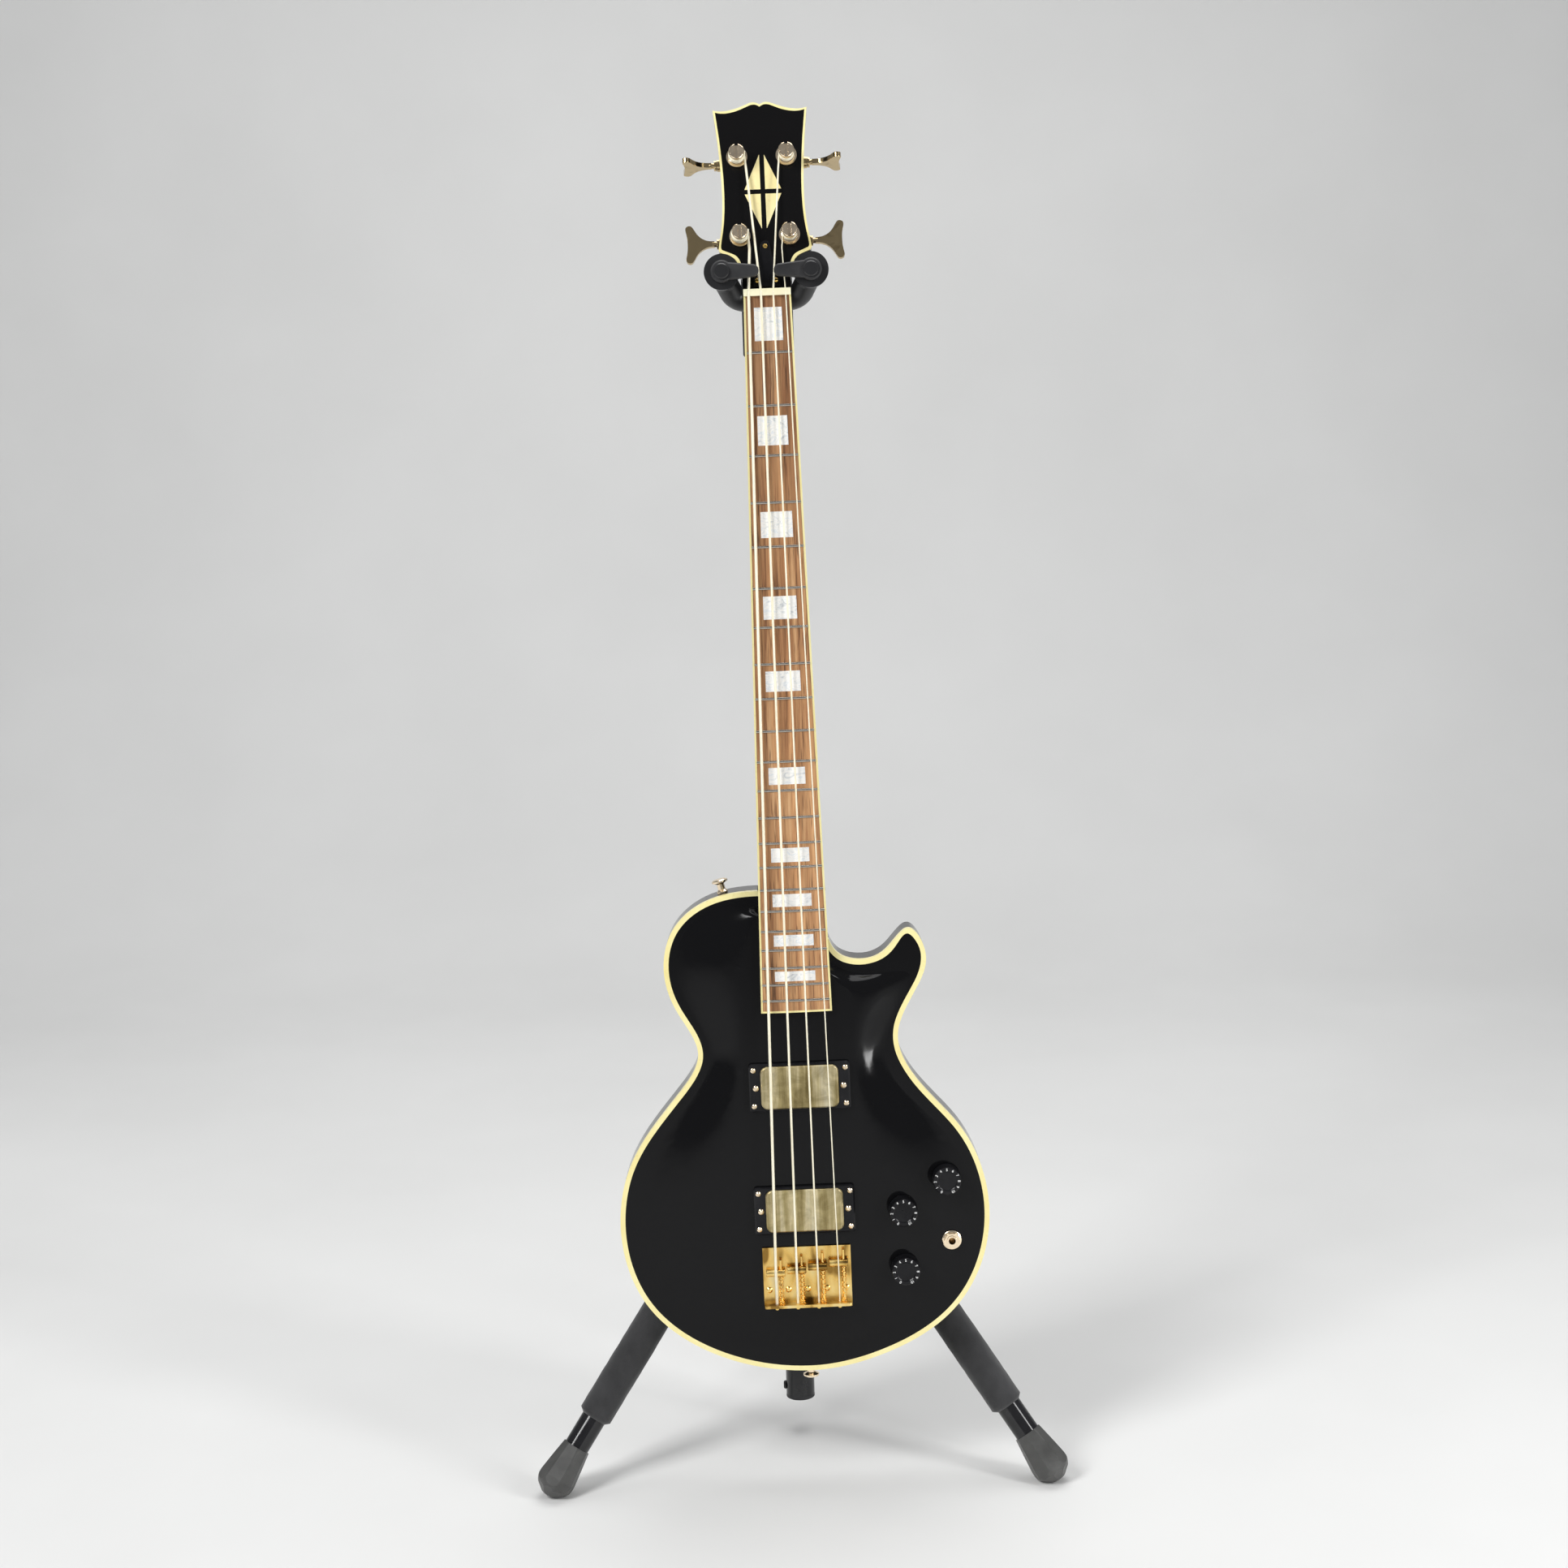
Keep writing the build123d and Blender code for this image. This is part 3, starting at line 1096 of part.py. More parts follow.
def height_clutch():
    """Clutch nut on top of the lower tube that grips the upper tube."""
    low = LOWER_TUBE_TOP - CLUTCH_GRIP
    top = low + CLUTCH_LENGTH
    nut = turned([
        (POST_OUTER, low), (CLUTCH_RADIUS - 3, low), (CLUTCH_RADIUS, low + 6), (CLUTCH_RADIUS, top - 16),
        (CLUTCH_RADIUS - 5, top - 6), (UPPER_OUTER + 3, top), (UPPER_OUTER + RUNNING, top),
        (UPPER_OUTER + RUNNING, LOWER_TUBE_TOP), (POST_OUTER, LOWER_TUBE_TOP),
    ])
    for k in range(CLUTCH_RIBS):
        groove = cyl(2.2, low + 8, top - 18, (CLUTCH_RADIUS + 0.9, 0))
        nut -= Rot(0, 0, 360 * k / CLUTCH_RIBS) * groove
    return nut


# Yoke, drawn in the guitar's axes: x across, y up, z forward

def fork_path(level):
    """Centre line of the fork: two arms forward and a lower bar behind the neck."""
    half = [(ARM_X, level, PAD_FRONT), (ARM_X, level, ARM_BACK), (FORK_NARROW, level - ARM_DROP, FORK_BACK)]
    return [(-x, y, z) for x, y, z in half] + half[::-1]


def tongue(middle, low, high, grow):
    """T-shaped tongue on the carriage's back, or with a clearance the slot for it."""
    front = -BLOCK_DEPTH - 1
    shape = None
    for width, depth in zip(TONGUE_WIDTHS, TONGUE_DEPTHS):
        half = width / 2 + grow
        start = front if shape is None else -BLOCK_DEPTH + TONGUE_DEPTHS[0] - grow
        step = slab(-half, half, start, -BLOCK_DEPTH + depth + grow, middle + low, middle + high)
        shape = step if shape is None else shape + step
    return shape


def yoke_head(middle):
    """Block on top of the upper tube with the T-slot that guides the carriage."""
    low = middle - CARRIAGE_HEIGHT / 2
    block = slab(-BLOCK_WIDTH / 2, BLOCK_WIDTH / 2, -BLOCK_DEPTH, BLOCK_DEPTH, low - BLOCK_BELOW,
                 low + CARRIAGE_HEIGHT + BLOCK_ABOVE)
    block = fillet(block.edges().filter_by(Axis.Z), 5)
    block = chamfer(block.edges().group_by(Axis.Z)[-1] + block.edges().group_by(Axis.Z)[0], 1.5)
    block -= tongue(middle, -CARRIAGE_HEIGHT / 2, CARRIAGE_HEIGHT / 2 + BLOCK_ABOVE + 1, SLIDE_CLEAR)
    return block - cyl(UPPER_OUTER, low - BLOCK_BELOW - 1, low - BLOCK_BELOW + TUBE_SEAT)


def carriage(front, middle):
    """Sliding block behind the fork, with its tongue."""
    half = CARRIAGE_HEIGHT / 2
    block = slab(-CARRIAGE_WIDTH / 2, CARRIAGE_WIDTH / 2, front, -BLOCK_DEPTH - SLIDE_CLEAR,
                 middle - half, middle + half)
    block = chamfer(block.edges().group_by(Axis.Y)[0], 2)
    return block + tongue(middle, -half, half, 0)


def arm_ends(level):
    """Front disc, gate pin and cap of each arm."""
    solids = []
    for x in (-ARM_X, ARM_X):
        gate_back = PAD_FRONT + DISC_THICK + GATE_CLEAR
        gate_front = gate_back + GATE_THICK
        end = cyl(DISC_RADIUS, PAD_FRONT, PAD_FRONT + DISC_THICK, (x, level))
        cap_back = gate_front + GATE_CLEAR
        end += cyl(GATE_PIN_RADIUS, PAD_FRONT, cap_back, (x, level))
        cap = cyl(GATE_CAP_RADIUS, cap_back, cap_back + GATE_CAP_THICK, (x, level))
        solids.append(end + chamfer(cap.edges().group_by(Axis.Z)[-1], 0.8))
    return solids


def pads(level):
    """Rubber sleeve on each arm."""
    sleeves = []
    for x in (-ARM_X, ARM_X):
        sleeve = cyl(PAD_RADIUS, PAD_BACK, PAD_FRONT, (x, level))
        sleeve = chamfer(sleeve.edges().group_by(Axis.Z)[0], 2.5)
        sleeves += (sleeve - cyl(ARM_RADIUS, PAD_BACK - 1, PAD_FRONT + 1, (x, level))).solids()
    return Compound(sleeves)


def gate(side, level):
    """Gate with a round hub and a tapering finger that closes across the strings."""
    tip = ARM_X - GATE_TIP_X - GATE_TIP_RADIUS
    finger = make_hull((Circle(GATE_ROOT).edges() + (Pos(tip, 0) * Circle(GATE_TIP_RADIUS)).edges()))
    low = PAD_FRONT + DISC_THICK + GATE_CLEAR
    shape = prism(finger, low, low + GATE_THICK) + cyl(GATE_HUB_RADIUS, low, low + GATE_THICK)
    shape = chamfer(shape.edges().group_by(Axis.Z)[-1], 1.2)
    shape -= cyl(GATE_PIN_RADIUS + RUNNING, low - 1, low + GATE_THICK + 1)
    return Pos(side * ARM_X, level) * Rot(0, 0, 180 if side > 0 else 0) * shape


# Assembly

def guitar_parts():
    """Every piece of the guitar in the guitar's own frame."""
    strings = range(len(STRING_NAMES))
    head_place = HEAD.location
    outline = body_outline()
    blank = body_block(outline) + arch()
    head = head_outline()
    filler = slab(NECK_INSET - board_half(0), board_half(0) - NECK_INSET, THROAT_Y, NUT_THICK, 6, PLATEAU)
    neck = neck_blank(head) + filler
    binding = prism(outline, -BINDING_DEPTH, 0)
    binding -= prism(body_outline(BINDING_WIDTH), -BINDING_DEPTH - 1, 1)
    head_strip = head_place * head_binding()
    body_cuts = [neck, binding]
    parts = {}

    plank = board_wedge(0, PLATEAU, BOARD_TOP + 1) & crown_cylinder(BOARD_RADIUS)
    core = board_wedge(BOARD_BINDING, PLATEAU - 1, BOARD_TOP + 2)
    core -= slab(-60, 60, -BOARD_LENGTH - 1, -BOARD_LENGTH + BOARD_BINDING, 0, 30)
    inlays = inlay_blocks() & crown_cylinder(BOARD_RADIUS)
    parts["fretboard"] = (plank & core) - inlays
    parts["fret_inlays"] = inlays
    parts["frets"] = Compound([s for n in range(1, FRET_COUNT + 1) for s in fret(n).solids()])
    side_strips = plank - core
    parts["neck_binding"] = Compound([*side_strips.solids(), *head_strip.solids()])

    wires = [string_solid(k) for k in strings]
    nut = nut_blank()
    for wire in wires:
        nut -= wire
    parts["nut"] = nut
    parts["strings"] = Compound([s for wire in wires for s in wire.solids()])

    rod = bar(TRUSS_ROD_RADIUS, (0, ROD_ENDS[0], ROD_Z), (0, ROD_ENDS[1], ROD_Z))
    pocket = slab(-ROD_POCKET_WIDTH / 2, ROD_POCKET_WIDTH / 2, *ROD_POCKET, ROD_POCKET_FLOOR, PLATEAU + 5)
    parts["truss_rod"] = rod
    inlay = head_place * head_inlay()
    parts["headstock_inlay"] = inlay
    neck_cuts = [head_strip, rod, pocket, *inlay.solids()]

    cover = rod_cover()
    screws = []
    for x, h in cover_screws():
        fixing = Pos(x, h, COVER_THICK) * screw(*COVER_SCREW, COVER_THICK + SCREW_BITE)
        cover -= fixing
        screws.append(head_place * fixing)
    parts["truss_rod_cover"] = head_place * cover

    housings = []
    for k in strings:
        _, x, h = post_place(k)
        neck_cuts.append(head_place * cyl(BUSH_RADIUS, -HEAD_THICK - 1, 1, (x, h)))
        lug = Pos(x, h - HOUSING_RADIUS - 2, -HEAD_THICK - LUG_THICK) * Rot(180, 0, 0)
        fixing = lug * screw(*LUG_SCREW, LUG_THICK + SCREW_BITE)
        housings += (head_place * (tuner_housing(k) - fixing)).solids()
        screws.append(head_place * fixing)
        parts["tuner_key_" + STRING_NAMES[k]] = head_place * tuner_key(k)
        parts["string_post_" + STRING_NAMES[k]] = head_place * string_post(k)
    parts["tuner_housings"] = Compound(housings)
    parts["tuner_bushings"] = Compound([s for k in strings for s in (head_place * tuner_bushing(k)).solids()])

    ring_solids, ring_screws = [], []
    for name, y in PICKUP_YS.items():
        fixings = pickup_screw_set(y)
        ring = pickup_ring(y)
        body_cuts += [pickup_cavity(y), *fixings]
        ring_solids += (ring - fixings).solids()
        ring_screws += fixings
        parts["pickup_" + name] = pickup(y)
    parts["pickup_rings"] = Compound(ring_solids)
    parts["pickup_screws"] = Compound([s for fixing in ring_screws for s in fixing.solids()])

    plate = bridge_plate()
    for x in bridge_screw_xs():
        seat = Pos(x, BRIDGE_SCREW_Y, PLATEAU + BRIDGE_THICK)
        fixing = seat * screw(*BRIDGE_SCREW, BRIDGE_THICK + BRIDGE_SCREW_BITE)
        plate -= fixing
        screws.append(fixing)
    parts["bridge_plate"] = plate
    parts["intonation_screws"] = Compound([s for k in strings for s in intonation_screw(k).solids()])
    parts["saddle_springs"] = Compound([s for k in strings for s in saddle_spring(k).solids()])
    for k in strings:
        parts["saddle_" + STRING_NAMES[k]] = saddle(k)

    pots = []
    for name, place in KNOB_PLACES.items():
        base = top_height(blank, *place, KNOB_RADIUS)
        body_cuts.append(cyl(POT_BUSH_RADIUS, CAVITY_ROOF - 1, base + 2, place))
        pots += potentiometer(place, base).solids()
        parts["knob_" + name] = knob(place, base)
    parts["potentiometers"] = Compound(pots)
    base = top_height(blank, *JACK_PLACE, JACK_WASHER_RADIUS)
    body_cuts.append(cyl(JACK_BARREL_RADIUS, CAVITY_ROOF - 1, base + 2, JACK_PLACE))
    parts["output_jack"] = output_jack(base)

    back = -BODY_THICK
    body_cuts.append(prism(cavity_outline(0), back - 1, CAVITY_ROOF))
    body_cuts.append(prism(cavity_outline(COVER_RIM), back - 1, back + COVER_PLATE))
    lid = prism(cavity_outline(COVER_RIM - COVER_GAP), back, back + COVER_PLATE)
    for place in cover_screw_places():
        fixing = Pos(*place, back) * Rot(180, 0, 0) * screw(*PLATE_SCREW, COVER_PLATE + SCREW_BITE)
        lid -= fixing
        screws.append(fixing)
    parts["control_cover"] = lid
    buttons = strap_buttons()
    parts["strap_buttons"] = Compound([s for button in buttons for s in button.solids()])
    parts["wood_screws"] = Compound([s for fixing in screws for s in fixing.solids()])
    parts["body"] = blank - body_cuts - buttons - screws
    parts["body_binding"] = binding - [neck, *buttons]
    parts["neck"] = neck - neck_cuts - screws
    return parts, blank


def build():
    """Every piece in the stand's frame, and the frames that the joints are taken from."""
    guitar, blank = guitar_parts()
    frames = {name: leg_frame(name) for name in LEG_AZIMUTHS}
    floor = slab(-500, 500, -500, 500, -100, 0)
    parts = {
        "lower_tube": lower_tube(), "tube_end_cap": end_cap(), "leg_hub": leg_hub(),
        "leg_hinge_pins": leg_pins(), "height_clutch": height_clutch(),
    }
    parts["lower_tube"] -= parts["tube_end_cap"]
    for name, frame in frames.items():
        parts["leg_" + name] = frame * leg_tube()
        parts["foot_" + name] = frame * leg_foot() - floor
        if name != "rear":
            parts["foam_" + name] = frame * leg_foam()

    tilt = Rot(90 - HANG_TILT, 0, 0)
    upright = ARM_LEVEL + settle(pads(ARM_LEVEL), guitar["neck"], (0, 1, 0), REST_GAP)
    lean = Pos(0, upright, 0) * Rot(0, 0, HANG_LEAN) * Pos(0, -upright, 0)
    level = upright + settle(pads(upright), lean * guitar["neck"], (0, 1, 0), REST_GAP)
    foams = Compound([*parts["foam_left"].solids(), *parts["foam_right"].solids()])
    start = Pos(0, NUT_START_Y, NUT_HEIGHT) * tilt
    nut_y = NUT_START_Y + settle(start * lean * blank, foams, (0, 1, 0), REST_GAP)
    yoke = Pos(0, nut_y, NUT_HEIGHT) * tilt
    hang = yoke * lean

    heart = (yoke * Pos(0, level - ARM_DROP, FORK_BACK)).position
    fork = tube_along(rounded(fork_path(level), FORK_BEND), ARM_RADIUS)
    for end in arm_ends(level):
        fork += end
    parts["yoke_cradle"] = yoke * fork + carriage(heart.Y, heart.Z)
    parts["cradle_pads"] = yoke * pads(level)
    parts["gate_left"] = yoke * gate(-1, level)
    parts["gate_right"] = yoke * gate(1, level)
    parts["yoke_head"] = yoke_head(heart.Z)
    parts["upper_tube"] = upper_tube(heart.Z - CARRIAGE_HEIGHT / 2 - BLOCK_BELOW + TUBE_SEAT)
    for name, shape in guitar.items():
        parts[name] = hang * shape

    boxes = [shape.bounding_box() for shape in parts.values()]
    centre = Pos(0, -(min(b.min.Y for b in boxes) + max(b.max.Y for b in boxes)) / 2, 0)
    frames.update(yoke=yoke, guitar=hang, head=hang * HEAD.location)
    frames = {name: centre * frame for name, frame in frames.items()}
    return {name: centre * shape for name, shape in parts.items()}, frames, level


def main():
    parts, _, _ = build()
    os.makedirs("parts", exist_ok=True)
    for name, shape in parts.items():
        export_step(shape, os.path.join("parts", name + ".step"))
        print(name, len(shape.solids()), "solids")


if __name__ == "__main__":
    main()
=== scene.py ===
import bpy
import json
import math
from mathutils import Matrix, Vector, noise


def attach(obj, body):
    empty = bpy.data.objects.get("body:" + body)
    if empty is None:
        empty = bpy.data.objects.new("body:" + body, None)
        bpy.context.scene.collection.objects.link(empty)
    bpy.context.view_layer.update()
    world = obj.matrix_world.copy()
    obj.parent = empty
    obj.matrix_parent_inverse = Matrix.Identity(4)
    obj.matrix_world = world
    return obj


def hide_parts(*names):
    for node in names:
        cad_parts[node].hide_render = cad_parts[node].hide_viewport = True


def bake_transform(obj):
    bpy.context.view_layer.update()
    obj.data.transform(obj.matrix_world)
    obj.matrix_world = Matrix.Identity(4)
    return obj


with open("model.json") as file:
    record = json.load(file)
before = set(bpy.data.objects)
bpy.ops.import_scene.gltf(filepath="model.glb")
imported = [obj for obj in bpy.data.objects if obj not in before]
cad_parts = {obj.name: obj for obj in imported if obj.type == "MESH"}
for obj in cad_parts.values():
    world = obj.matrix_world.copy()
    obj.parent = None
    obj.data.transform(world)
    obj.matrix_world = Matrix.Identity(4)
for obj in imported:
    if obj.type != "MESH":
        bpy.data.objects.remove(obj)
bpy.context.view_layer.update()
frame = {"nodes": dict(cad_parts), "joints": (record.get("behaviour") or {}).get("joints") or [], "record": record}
nodes = frame["nodes"]
joints = {j["name"]: j for j in frame["joints"]}

# Sizes of the guitar, in millimetres
MM = 0.001
KNOBS = {"upper": (129.6, -793.1), "middle": (89.1, -819.3), "lower": (89.4, -873.9)}
KNOB_LEVEL = 10                          # height at which a knob's joint is given
STRINGS = "eadg"
STRING_RADII = (1.33, 1.08, 0.82, 0.57)
COMPENSATION = (8.0, 5.5, 3.0, 0.5)
SCALE = 864.0
NUT_SPREAD, SADDLE_SPREAD = 32.0, 57.0
NUT_Z, SADDLE_Z = 17.4, 21.3             # heights of the strings' middle line
BOARD_RADIUS = 305.0
POST_RADIUS, WRAP_BASE, WRAP_GAP, WRAP_CLEAR = 5.2, 3.4, 0.5, 0.06
WRAP_TURNS, LEAD = 2.0, 12.0             # turns on a post, and the straight run before them
ANCHOR = (-903.0, 16.4)                  # of a string's ball, along the neck and out of the face
BALL_RADIUS, BALL_BACK = 2.4, 1.2
CREST_BACK, NUT_CREST_Y = 3.2, 3.0       # where a string lies on its saddle and on the nut
SPRING = {"x": 4.6, "z": 15.2, "rear": -900.4, "radius": 2.1, "wire": 0.36, "clear": 0.05}
SPRING_CLOSED, SPRING_ACTIVE = 1.0, 6.0  # turns at each end and between
CLOSED_PITCH = 1.05                      # of the closed turns, in wire diameters
SADDLE_RADIUS = 3.4
MARK_SIZE, MARK_DEPTH, MARK_LIFT, MARK_RADIUS = 3.4, 0.02, 0.03, 10.7
MARK_SWEEP, LAST_MARK = 300, 10          # degrees from the first number to the last

# Sizes of the stand, in metres
FOOT_REACH, FOOT_RISE = 0.262, 0.0171    # of a foot, from the post's axis and from the floor
HINGE_R = 0.034                          # of a leg's hinge, from the post's axis
LEG_RADIUS, ARM_RADIUS = 0.0119, 0.0107
FOAM_DIP, FOAM_ROLL = 0.0007, 0.0016     # depth of the uneven skin and size of the rolled ends
PAD_DIP, PAD_ROLL = 0.0002, 0.003

# Rounding of the solids' edges
WELD_GAP = 0.00001
BEVEL_SEGMENTS, BEVEL_ANGLE = 3, 40

# The guitar's own frame, read from its joints: x across, y up the neck from the nut, z out of the face
AXIS_Y = Vector(joints["saddle_e_slide"]["axis"]).normalized()
AXIS_Z = Vector(joints["knob_upper_turn"]["axis"]).normalized()
AXIS_X = AXIS_Y.cross(AXIS_Z)
ORIGIN = Vector(joints["knob_upper_turn"]["pos_m"]) - MM * (
    KNOBS["upper"][0] * AXIS_X + KNOBS["upper"][1] * AXIS_Y + KNOB_LEVEL * AXIS_Z)

# The headstock's own frame, from the joints of the string posts
HEAD_N = Vector(joints["post_e_turn"]["axis"]).normalized()
HEAD_UP = HEAD_N.cross(AXIS_X).normalized()


def guitar(x, y, z):
    """Point of the guitar's own frame, in metres in the part's frame."""
    return ORIGIN + MM * (x * AXIS_X + y * AXIS_Y + z * AXIS_Z)


def placed(right, up, out, place):
    """Matrix with the given axes and origin."""
    return Matrix((
        (right.x, up.x, out.x, place.x), (right.y, up.y, out.y, place.y), (right.z, up.z, out.z, place.z),
        (0, 0, 0, 1)))


def link(obj):
    """Put an object into the scene."""
    bpy.context.scene.collection.objects.link(obj)
    return obj


# Materials

class Finish:
    """Principled material with procedural textures in the part's own coordinates."""

    def __init__(self, name, colour, roughness, metallic=0.0, **sockets):
        self.material = bpy.data.materials.new(name)
        self.material.use_nodes = True
        self.tree = self.material.node_tree
        self.shader = self.tree.nodes["Principled BSDF"]
        self.put("Base Color", (*colour, 1.0))
        self.put("Roughness", roughness)
        self.put("Metallic", metallic)
        for socket, value in sockets.items():
            self.put(socket.replace("_", " "), value)
        self.coordinates = self.tree.nodes.new("ShaderNodeTexCoord").outputs["Object"]
        self.last_bump = None

    def put(self, socket, value):
        """Set a socket of the shader to a value, or link it to a texture."""
        target = self.shader.inputs[socket]
        if isinstance(value, bpy.types.NodeSocket):
            self.tree.links.new(value, target)
        else:
            target.default_value = value

    def node(self, kind, inputs=None, **settings):
        """New shader node with its inputs set or linked."""
        made = self.tree.nodes.new("ShaderNode" + kind)
        for key, value in settings.items():
            setattr(made, key, value)
        for key, value in (inputs or {}).items():
            if isinstance(value, bpy.types.NodeSocket):
                self.tree.links.new(value, made.inputs[key])
            else:
                made.inputs[key].default_value = value
        return made

    def mapped(self, scale):
        """Coordinates stretched by a scale for each axis."""
        return self.node("Mapping", {"Vector": self.coordinates, "Scale": scale}).outputs["Vector"]

    def noise(self, scale, detail=4.0, rough=0.55, distortion=0.0):
        """Cloudy noise with a scale for each axis."""
        vector = self.mapped(scale)
        return self.node("TexNoise", {"Vector": vector, "Scale": 1.0, "Detail": detail, "Roughness": rough,
                                      "Distortion": distortion}).outputs["Fac"]

    def cells(self, scale):
        """Distance to the middle of small cells."""
        return self.node("TexVoronoi", {"Vector": self.mapped(scale), "Scale": 1.0}).outputs["Distance"]

    def ramp(self, factor, stops):
        """Colours by stops along a factor."""
        made = self.node("ValToRGB", {"Fac": factor})
        band = made.color_ramp
        while len(band.elements) < len(stops):
            band.elements.new(0.5)
        for element, (place, colour) in zip(band.elements, stops):
            element.position = place
            element.color = (*colour, 1.0)
        return made.outputs["Color"]

    def levels(self, factor, low, high):
        """Spread the middle of a noise over a range of values."""
        return self.node("MapRange", {"Value": factor, "From Min": 0.3, "From Max": 0.7, "To Min": low,
                                      "To Max": high}).outputs["Result"]

    def blend(self, factor, first, second, mode="MIX"):
        """Mix of two colours."""
        made = self.node("MixRGB", {"Fac": factor, "Color1": first, "Color2": second}, blend_type=mode)
        return made.outputs["Color"]

    def bump(self, height, strength, distance):
        """Relief on top of any relief already there."""
        inputs = {"Height": height, "Strength": strength, "Distance": distance}
        if self.last_bump is not None:
            inputs["Normal"] = self.last_bump
        self.last_bump = self.node("Bump", inputs).outputs["Normal"]
        self.put("Normal", self.last_bump)


def lacquer(name, colour):
    """Black gloss lacquer of slightly uneven polish, with a trace of orange peel."""
    f = Finish(name, colour, roughness=0.07, Specular_IOR_Level=0.18)
    f.put("Roughness", f.levels(f.noise((60, 60, 60), detail=6.0), 0.05, 0.12))
    f.bump(f.noise((420, 420, 420), detail=2.0), strength=0.02, distance=0.0004)
    return f.material


def gold(name, tone, dark, rough, patches):
    """Gold plate with a fine grain and with worn and tarnished patches."""
    f = Finish(name, tone, roughness=rough, metallic=1.0)
    tarnish = f.noise(patches, detail=6.0, rough=0.62, distortion=0.6)
    f.put("Base Color", f.ramp(tarnish, [(0.36, tone), (0.58, tone), (0.74, dark)]))
    grain = f.noise((300, 300, 300), detail=3.0)
    f.put("Roughness", f.levels(f.blend(0.5, tarnish, grain), rough - 0.05, rough + 0.14))
    f.bump(grain, strength=0.05, distance=0.0002)
    return f.material


def bridge_gold():
    """Bright gold of the bridge, with painted reflection: bright streaks and deep brown ones in its colour stand
    in for bright and dark surroundings mirrored in the plate.
    """
    f = Finish("bridge_gold", (0.9, 0.62, 0.2), roughness=0.3, metallic=1.0)
    streaks = f.noise((85, 60, 30), detail=1.5, rough=0.5, distortion=0.2)
    # painted reflection: the colour runs from deep brown to near-white gold along the streaks
    f.put("Base Color", f.ramp(streaks, [(0.36, (0.3, 0.17, 0.04)), (0.46, (0.85, 0.55, 0.16)),
                                         (0.6, (1.0, 0.74, 0.28)), (0.72, (1.0, 0.84, 0.46))]))
    f.put("Roughness", f.levels(streaks, 0.16, 0.4))
    f.bump(f.noise((300, 300, 300), detail=3.0), strength=0.05, distance=0.0002)
    return f.material


def tarnished():
    """Old gold pickup cover: streaks and clouds of tarnish run down it."""
    f = Finish("pickup_gold", (0.5, 0.4, 0.17), roughness=0.34, metallic=1.0)
    streaks = f.noise((95, 20, 7), detail=5.0, rough=0.62, distortion=0.3)
    clouds = f.noise((45, 45, 60), detail=6.0, rough=0.65, distortion=0.8)
    tone = f.ramp(streaks, [(0.3, (0.3, 0.23, 0.1)), (0.45, (0.55, 0.45, 0.22)),
                            (0.56, (0.8, 0.69, 0.42)), (0.72, (0.95, 0.88, 0.66))])
    wash = f.ramp(clouds, [(0.35, (0.6, 0.58, 0.52)), (0.65, (1.0, 1.0, 1.0))])
    f.put("Base Color", f.blend(1.0, tone, wash, "MULTIPLY"))
    f.put("Roughness", f.levels(clouds, 0.26, 0.5))
    f.bump(f.noise((700, 700, 60), detail=3.0), strength=0.04, distance=0.0002)
    return f.material


def rosewood():
    """Orange-brown rosewood with dark streaks and open pores along the neck, darker towards the nut."""
    nut_shade = (0.42, 0.34, 0.3, 1.0)
    f = Finish("rosewood", (0.2, 0.08, 0.035), roughness=0.48)
    streaks = f.noise((210, 60, 5.5), detail=7.0, rough=0.65, distortion=0.5)
    figure = f.noise((60, 20, 1.6), detail=3.0)
    tone = f.ramp(streaks, [(0.25, (0.1, 0.042, 0.016)), (0.42, (0.4, 0.19, 0.08)),
                            (0.56, (0.6, 0.33, 0.15)), (0.76, (0.8, 0.52, 0.28))])
    shade = f.ramp(figure, [(0.3, (0.62, 0.58, 0.55)), (0.7, (1.0, 1.0, 1.0))])
    colour = f.blend(1.0, tone, shade, "MULTIPLY")
    height = f.node("SeparateXYZ", {"Vector": f.coordinates}).outputs["Z"]
    darkening = f.node("MapRange", {"Value": height, "From Min": 0.85, "From Max": 1.08, "To Min": 0.0,
                                    "To Max": 0.75}).outputs["Result"]
    colour = f.blend(darkening, colour, f.blend(1.0, colour, nut_shade, "MULTIPLY"))
    pores = f.noise((900, 300, 26), detail=2.0, rough=0.5)
    dark_pores = f.ramp(pores, [(0.34, (0.25, 0.22, 0.2)), (0.42, (1, 1, 1))])
    f.put("Base Color", f.blend(0.8, colour, dark_pores, "MULTIPLY"))
    f.put("Roughness", f.levels(streaks, 0.42, 0.58))
    f.bump(pores, strength=0.12, distance=0.0002)
    return f.material


def pearl():
    """Pearl with cloudy, slightly coloured folds."""
    f = Finish("pearl", (0.78, 0.79, 0.79), roughness=0.2, Coat_Weight=0.4, Coat_Roughness=0.06)
    folds = f.noise((70, 70, 110), detail=5.0, rough=0.6, distortion=1.8)
    f.put("Base Color", f.ramp(folds, [(0.3, (0.5, 0.53, 0.56)), (0.42, (0.78, 0.79, 0.78)),
                                       (0.52, (0.9, 0.88, 0.84)), (0.6, (0.7, 0.74, 0.77)),
                                       (0.72, (0.93, 0.92, 0.9))]))
    f.put("Roughness", f.levels(folds, 0.14, 0.3))
    return f.material


def celluloid(name, pale, deep):
    """Aged cream plastic with faint yellowing."""
    f = Finish(name, pale, roughness=0.3, Coat_Weight=0.25, Coat_Roughness=0.1)
    age = f.noise((26, 26, 18), detail=4.0, rough=0.6)
    f.put("Base Color", f.ramp(age, [(0.35, pale), (0.7, deep)]))
    f.put("Roughness", f.levels(f.noise((160, 160, 160), detail=3.0), 0.24, 0.4))
    return f.material


